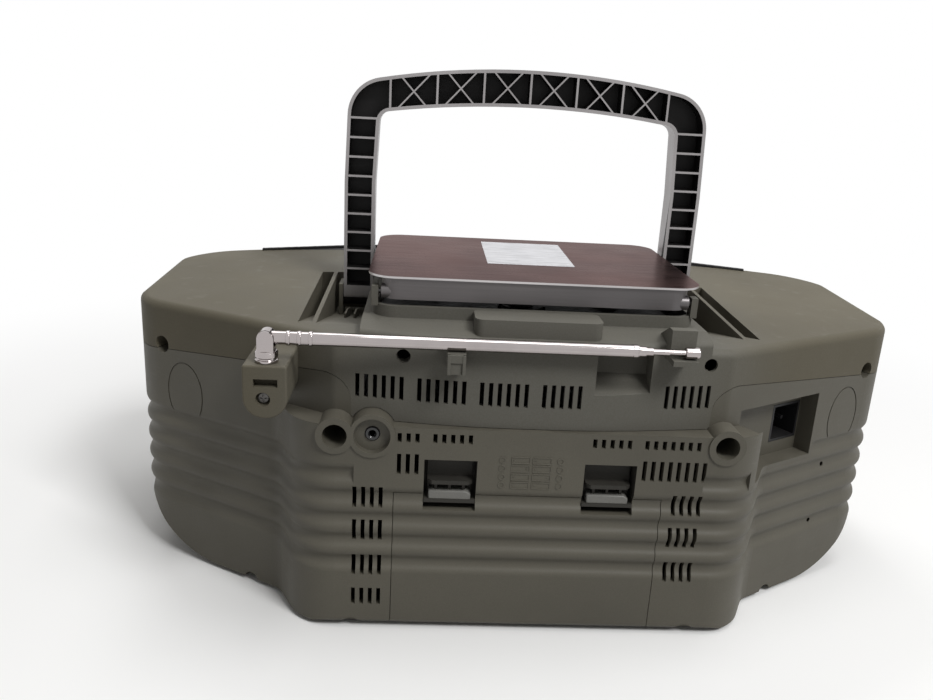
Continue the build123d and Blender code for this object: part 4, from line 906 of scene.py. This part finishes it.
    def channel_ribs(self) -> None:
        """Low ribs on the slope behind each arm of the handle."""
        mesh = Mesh()
        floor = [(-8.0, 159.0), (-8.0, 165.0), (10.0, 168.6), (24.0, 169.2), (24.0, 165.7)]
        for side in (-1, 1):
            for x in self.rib_places:
                plane = plane_at((side * x - self.rib_width / 2, 0, 0), (1, 0, 0), (0, 1, 0))
                mesh.prism(floor, plane, 0.0, self.rib_width)
        mesh.finish("channel_ribs", self.finishes.cabinet_lit_top, "cabinet", Slot.CABINET, 0.15)

    def clip_legs(self) -> None:
        """Legs of the antenna clip."""
        mesh = Mesh()
        plane = plane_at((46.0, self.rear + 9.0, 171.0), (0, 1, 0), (-1, 0, 0))
        for side in (-1, 1):
            inner, outer = side * 3.2, side * 5.0
            leg = [(inner, -5.0), (outer, -5.0), (outer, 6.2), (inner, 6.2)]
            mesh.prism(leg[::side], plane, -0.1, 1.2)
        mesh.prism([(-5.0, 1.6), (5.0, 1.6), (5.0, 6.2), (-5.0, 6.2)], plane, -0.1, 0.9)
        mesh.finish("clip_legs", self.finishes.cabinet_lit_top, "cabinet", Slot.CABINET, 0.2)

    def build(self) -> None:
        """Dress the shells and add their small pieces."""
        self.dress()
        self.diagram()
        self.latch_tabs()
        self.front_lip()
        self.phones_ring()
        self.holder_screw()
        self.boss_screws()
        self.channel_ribs()
        self.clip_legs()


def head(mesh: Mesh, at: Point, axis: Point, radius: float) -> Mesh:
    """Pan head of a screw with a cross recess.

    Args:
        mesh: the mesh it is added to.
        at: centre of its seat.
        axis: direction it faces.
        radius: its radius.

    Returns:
        The mesh.
    """
    turn = Vector((0, 0, 1)).rotation_difference(Vector(axis).normalized())
    slot = radius * 0.14
    reach = radius * 0.56
    crown = 0.8
    cross = [
        (slot, slot), (slot, reach), (-slot, reach), (-slot, slot),
        (-reach, slot), (-reach, -slot), (-slot, -slot), (-slot, -reach),
        (slot, -reach), (slot, -slot), (reach, -slot), (reach, slot),
    ]
    rim = []
    for u, v in cross:
        angle = math.atan2(v, u)
        rim.append((radius * crown * math.cos(angle), radius * crown * math.sin(angle)))
    skirt = [(u / crown, v / crown) for u, v in rim]
    levels = [
        (skirt, 0.0),
        (skirt, 0.7),
        (rim, 1.3),
        (cross, 1.45),
        (cross, 0.5),
    ]
    rings = [
        [mesh.bm.verts.new(turn @ Vector((u, v, lift)) + Vector(at)) for u, v in ring]
        for ring, lift in levels
    ]
    for low, high in zip(rings, rings[1:]):
        mesh.wall(low, high)
    mesh.bm.faces.new(rings[-1])
    mesh.bm.faces.new(rings[0][::-1])
    return mesh


def paint(node: str, material: bpy.types.Material) -> bpy.types.Object:
    """Give a CAD node its finish and smooth its round faces.

    Args:
        node: the node's name.
        material: the finish.

    Returns:
        The node's object.
    """
    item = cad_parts[node]
    item.data.materials.clear()
    item.data.materials.append(material)
    for face in item.data.polygons:
        face.use_smooth = True
    item.data.set_sharp_from_angle(angle=SMOOTH_CAD)
    return item


@dataclass
class Handle:
    """Carrying handle, silver outside with dark open cells at the rear."""

    finishes: Finishes
    rear_y: float = -15.5
    web_y: float = -28.5

    def build(self) -> None:
        """Paint the rims silver and the cells dark."""
        item = paint("handle", self.finishes.handle)
        item.data.materials.append(self.finishes.cell)
        for face in item.data.polygons:
            places = [item.data.vertices[index].co.y / MM for index in face.vertices]
            if min(places) > self.web_y - 0.2 and min(places) < self.rear_y - 0.2:
                face.material_index = 1
        paint("handle_pivots", self.finishes.steel)
        LOG.info("handle dressed")


@dataclass
class DiscSide:
    """Lid, tray and drive."""

    finishes: Finishes
    hub_radius: float = 6.35
    hub_y: float = 19.5
    grip_z: float = 181.6

    def build(self) -> None:
        """Dress the disc side."""
        finishes = self.finishes
        paint("disc_lid", finishes.lid)
        plate = paint("lid_plate", finishes.lid_plate)
        plate.data.materials.append(finishes.plate_edge)
        for face in plate.data.polygons:
            if abs(face.normal.z) < 0.5:
                face.material_index = 1
        paint("lid_label", finishes.label)
        paint("lid_hinge_pins", finishes.screw)
        paint("disc_tray", finishes.black)
        paint("drive_chassis", finishes.zinc)
        paint("guide_rods", finishes.steel)
        paint("laser_pickup", finishes.black)
        paint("spindle_motor", finishes.zinc)
        paint("turntable", finishes.black)
        lens = Mesh().lathe(
            [(0.01, 1.0), (1.4, 0.8), (2.2, 0.3), (2.6, 0.0), (0.01, 0.0)],
            (0.0, -4.5, 176.0), (0, 0, 1), 32,
        )
        lens.finish("pickup_lens", finishes.window, "laser_pickup", Slot.CLEAR, 0.0)
        balls = Mesh()
        for index in range(3):
            angle = math.radians(120 * index + 30)
            x, y = self.hub_radius * math.cos(angle), self.hub_radius * math.sin(angle)
            spot = (x, self.hub_y + y, self.grip_z)
            out = (math.cos(angle), math.sin(angle), 0)
            ball = [(0.01, 1.2), (0.7, 0.95), (1.1, 0.4), (1.2, -0.3), (0.01, -0.3)]
            balls.lathe(ball, spot, out, 20)
        balls.finish("hub_grips", finishes.steel, "turntable", Slot.SPRING, 0.0)


@dataclass
class TapeSide:
    """Cassette door, mechanism and keys."""

    finishes: Finishes
    key_count: int = 6
    key_pitch: float = 20.0
    key_y: float = -88.5
    key_top: float = 196.0

    def build(self) -> None:
        """Dress the cassette side."""
        finishes = self.finishes
        paint("cassette_door", finishes.front)
        paint("cassette_window", finishes.window)
        paint("tape_chassis", finishes.zinc)
        paint("tape_head", finishes.steel)
        paint("supply_reel", finishes.black)
        paint("takeup_reel", finishes.black)
        paint("capstan", finishes.steel)
        paint("pinch_roller", finishes.surround)
        for index in range(self.key_count):
            paint(f"tape_key_{index + 1}", finishes.control)
            self.mark(index)

    def mark(self, index: int) -> None:
        """Generic transport sign let into a key.

        Args:
            index: which key, from the left as seen from behind.
        """
        signs = (
            [
                [(-2.6, -2.4), (-0.8, -2.4), (-0.8, 2.4), (-2.6, 2.4)],
                [(0.8, -2.4), (2.6, -2.4), (2.6, 2.4), (0.8, 2.4)],
            ],
            [[(-2.4, -2.4), (2.4, -2.4), (2.4, 2.4), (-2.4, 2.4)]],
            [[(-3.0, -2.4), (0.0, 0.0), (-3.0, 2.4)], [(0.0, -2.4), (3.0, 0.0), (0.0, 2.4)]],
            [[(3.0, -2.4), (3.0, 2.4), (0.0, 0.0)], [(0.0, -2.4), (0.0, 2.4), (-3.0, 0.0)]],
            [[(-2.2, -2.6), (2.6, 0.0), (-2.2, 2.6)]],
            [ring_outline(2.4, 24)],
        )
        x = (index - (self.key_count - 1) / 2) * self.key_pitch
        plane = plane_at((x, self.key_y, self.key_top), (0, 0, 1), (1, 0, 0))
        mesh = Mesh()
        for outline in signs[index]:
            mesh.prism(outline, plane, -0.05, 0.12)
        body = f"tape_key_{index + 1}"
        mesh.finish(f"tape_sign_{index + 1}", self.finishes.ink, body, Slot.CONTROL, 0.0)


@dataclass
class FrontControls:
    """Speakers, display, knobs and buttons of the front."""

    finishes: Finishes
    front: float = -122.5
    knob_x: float = 80.0
    knob_z: float = 138.0
    knob_length: float = 12.0
    dot_radius: float = 0.9
    speaker_x: float = 165.0
    speaker_z: float = 92.0
    speaker_lean: float = 10.0
    roll_radius: float = 44.0
    roll_size: float = 4.0
    tick_count: int = 17
    tick_pitch: float = 4.6

    def build(self) -> None:
        """Dress the front."""
        finishes = self.finishes
        for side in ("left", "right"):
            paint(f"speaker_grille_{side}", finishes.grille)
            paint(f"speaker_frame_{side}", finishes.zinc)
            paint(f"speaker_cone_{side}", finishes.cone)
            paint(f"speaker_magnet_{side}", finishes.ferrite)
        paint("display_window", finishes.window)
        paint("display_panel", finishes.display)
        paint("function_switch", finishes.control)
        for name in ("volume_knob", "tuning_knob", "disc_button_1", "disc_button_2"):
            paint(name, finishes.control)
        self.surrounds()
        self.pointers()
        self.scale()

    def surrounds(self) -> None:
        """Rolled rubber edge of each cone."""
        for side, name in ((1, "left"), (-1, "right")):
            lean = math.radians(self.speaker_lean)
            axis = (side * math.sin(lean), -math.cos(lean), 0.0)
            mouth = Vector((side * self.speaker_x, self.front + 7.9, self.speaker_z))
            centre = mouth - Vector(axis) * 15.0
            radius, size = self.roll_radius, self.roll_size
            turns = [math.pi * step / 8 for step in range(9)]
            arc = [(radius + size * math.cos(turn), size * math.sin(turn)) for turn in turns]
            profile = [*arc, (radius - size, -0.6), (radius + size, -0.6)]
            mesh = Mesh().lathe(profile, tuple(centre), axis, 72)
            piece = f"speaker_surround_{name}"
            mesh.finish(piece, self.finishes.surround, "cabinet", Slot.RUBBER, 0.0)

    def pointers(self) -> None:
        """Pale line on the face of each knob."""
        for side, name in ((1, "tuning_knob"), (-1, "volume_knob")):
            centre = (side * self.knob_x, self.front - self.knob_length, self.knob_z)
            plane = plane_at(centre, (0, -1, 0), (1, 0, 0))
            line = [(-0.6, 4.0), (0.6, 4.0), (0.6, 11.0), (-0.6, 11.0)]
            mesh = Mesh().prism(line, plane, -0.1, 0.0)
            mesh.prism(ring_outline(self.dot_radius, 20), plane, -0.1, 0.0)
            mesh.finish(f"{name}_line", self.finishes.ink, name, Slot.CONTROL, 0.0)

    def scale(self) -> None:
        """Tick marks along the display."""
        plane = plane_at((0.0, self.front + 2.6, 138.0), (0, -1, 0), (1, 0, 0))
        mesh = Mesh()
        for index in range(self.tick_count):
            x = (index - self.tick_count // 2) * self.tick_pitch
            mesh.bar((x, -6.0), (x, -2.0 if index % 4 else 1.0), 0.5, plane, 0.1)
        mesh.finish("display_ticks", self.finishes.ink, "cabinet", Slot.FRONT, 0.0)


@dataclass
class Antenna:
    """Telescopic rod with its turned fittings."""

    finishes: Finishes
    x: float = 148.0
    y: float = 126.0
    z: float = 181.5
    collar_z: float = 168.3
    ring_places: tuple[float, ...] = (137.5, 131.5, 125.5)
    mouth_x: float = -49.8

    def build(self) -> None:
        """Dress the rod and add its fittings."""
        for name in ("antenna_swivel", *(f"antenna_tube_{index}" for index in range(1, 5))):
            paint(name, self.finishes.chrome)
        self.collar()
        self.ferrules()

    def collar(self) -> None:
        """Turned collar under the fork."""
        profile = [
            (4.8, 0.0), (6.3, 0.0), (6.3, 1.2), (5.6, 1.7), (5.6, 2.3),
            (6.2, 2.8), (6.2, 5.4), (5.5, 6.2), (4.8, 6.2),
        ]
        mesh = Mesh().lathe(profile, (self.x, self.y, self.collar_z), (0, 0, 1), 48)
        mesh.finish("antenna_collar", self.finishes.chrome, "antenna_swivel", Slot.CHROME, 0.1)

    def ferrules(self) -> None:
        """Rings rolled round the rod near its root, and its mouth."""
        mesh = Mesh()
        ring = [(3.55, 0.0), (3.9, 0.15), (4.05, 0.7), (4.05, 1.6), (3.9, 2.15), (3.55, 2.3)]
        for x in self.ring_places:
            mesh.lathe(ring, (x, self.y, self.z), (-1, 0, 0), 40)
        mouth = [
            (3.55, 0.0), (3.85, 0.3), (3.85, 2.6), (3.2, 3.2),
            (3.05, 3.2), (3.05, 2.9), (3.55, 2.8),
        ]
        mesh.lathe(mouth, (self.mouth_x, self.y, self.z), (-1, 0, 0), 40)
        mesh.finish("antenna_rings", self.finishes.chrome, "antenna_tube_1", Slot.CHROME, 0.05)


@dataclass
class Studio:
    """Pale floor, soft lamps and the camera of the photograph."""

    width: int = 933
    focal_pixels: float = 850.0
    place: Point = (0.06443, 0.56508, 0.31325)
    turn: Point = (72.94729, -2.93615, 177.82101)
    aim: Point = (0.0, 0.0, 0.14)
    floor_half: float = 12.0
    floor_near: float = 0.28
    floor_far: float = 0.85
    sky: tuple[float, float, float, float] = (1.0, 0.985, 0.96, 1.0)
    sky_power: float = 0.24

    def camera(self) -> None:
        """Camera at the photograph's place and angle."""
        data = bpy.data.cameras.new("camera")
        data.sensor_fit = "HORIZONTAL"
        data.sensor_width = 36.0
        data.lens = self.focal_pixels * data.sensor_width / self.width
        data.clip_start = 0.01
        data.clip_end = 50.0
        item = bpy.data.objects.new("camera", data)
        item.location = self.place
        item.rotation_euler = tuple(math.radians(value) for value in self.turn)
        bpy.context.scene.collection.objects.link(item)
        bpy.context.scene.camera = item

    def floor(self) -> None:
        """Plain pale floor."""
        mesh = bpy.data.meshes.new("floor")
        half = self.floor_half
        corners = [(-half, -half, 0), (half, -half, 0), (half, half, 0), (-half, half, 0)]
        mesh.from_pydata(corners, [], [(0, 1, 2, 3)])
        item = bpy.data.objects.new("floor", mesh)
        bpy.context.scene.collection.objects.link(item)
        shader = Shader("floor_paint")
        grain = shader.noise(3.0, 3.0)
        pale = shader.blend(grain, (0.88, 0.88, 0.875), (0.91, 0.91, 0.905))
        tone = shader.blend(shader.seen(), (0.42, 0.42, 0.415), pale)
        shader.set(Base_Color=tone, Roughness=0.9, Specular_IOR_Level=0.1)
        length = {"operation": "LENGTH"}
        reach = shader.add("ShaderNodeVectorMath", length, (shader.place(),), "Value")
        share = reach.step(self.floor_near, self.floor_far) * shader.seen()
        surface = Socket(shader, shader.surface.outputs[0])
        white = shader.add("ShaderNodeEmission", {}, (WHITE, 1.0))
        mix = shader.add("ShaderNodeMixShader", {}, (share, surface, white))
        shader.links.new(mix.output, shader.nodes["Material Output"].inputs[0])
        mesh.materials.append(shader.material)

    def lamp(self, name: str, at: Point, size: float, power: float) -> None:
        """Square soft lamp aimed at the middle of the radio.

        Args:
            name: the lamp's name.
            at: its place in metres.
            size: its side.
            power: its power in watts.
        """
        data = bpy.data.lights.new(name, "AREA")
        data.size = size
        data.energy = power
        item = bpy.data.objects.new(name, data)
        item.location = at
        item.rotation_mode = "QUATERNION"
        item.rotation_quaternion = (Vector(self.aim) - Vector(at)).to_track_quat("-Z", "Y")
        bpy.context.scene.collection.objects.link(item)

    def world(self) -> None:
        """Even light, with white seen directly and in reflections."""
        world = bpy.data.worlds.new("studio")
        world.use_nodes = True
        tree = Tree(world.node_tree)
        tree.nodes.clear()
        light = tree.add("ShaderNodeBackground", {}, (self.sky, self.sky_power))
        white = tree.add("ShaderNodeBackground", {}, (WHITE, 1.0))
        mix = tree.add("ShaderNodeMixShader", {}, (tree.seen(), light, white))
        tree.node("ShaderNodeOutputWorld", {}, (mix,))
        bpy.context.scene.world = world

    def build(self) -> None:
        """Set up the studio."""
        bpy.context.scene.view_settings.view_transform = "Standard"
        self.camera()
        self.floor()
        self.lamp("top_lamp", (-0.3, 0.0, 2.3), 1.1, 15.0)
        self.lamp("key_lamp", (-0.9, 1.2, 1.75), 0.65, 33.0)
        self.lamp("front_lamp", (0.5, -1.4, 2.2), 1.0, 12.0)
        self.world()


def main() -> None:
    """Build the pieces in order."""
    logging.basicConfig(level=logging.INFO, format="%(name)s: %(message)s")
    finishes = Finishes()
    steps: tuple[tuple[str, Callable[[], None]], ...] = (
        ("studio", Studio().build),
        ("cabinet", Cabinet(finishes).build),
        ("handle", Handle(finishes).build),
        ("disc side", DiscSide(finishes).build),
        ("tape side", TapeSide(finishes).build),
        ("front", FrontControls(finishes).build),
        ("antenna", Antenna(finishes).build),
    )
    for name, build in steps:
        build()
        LOG.info("%s done", name)


if __name__ == "__main__":
    main()
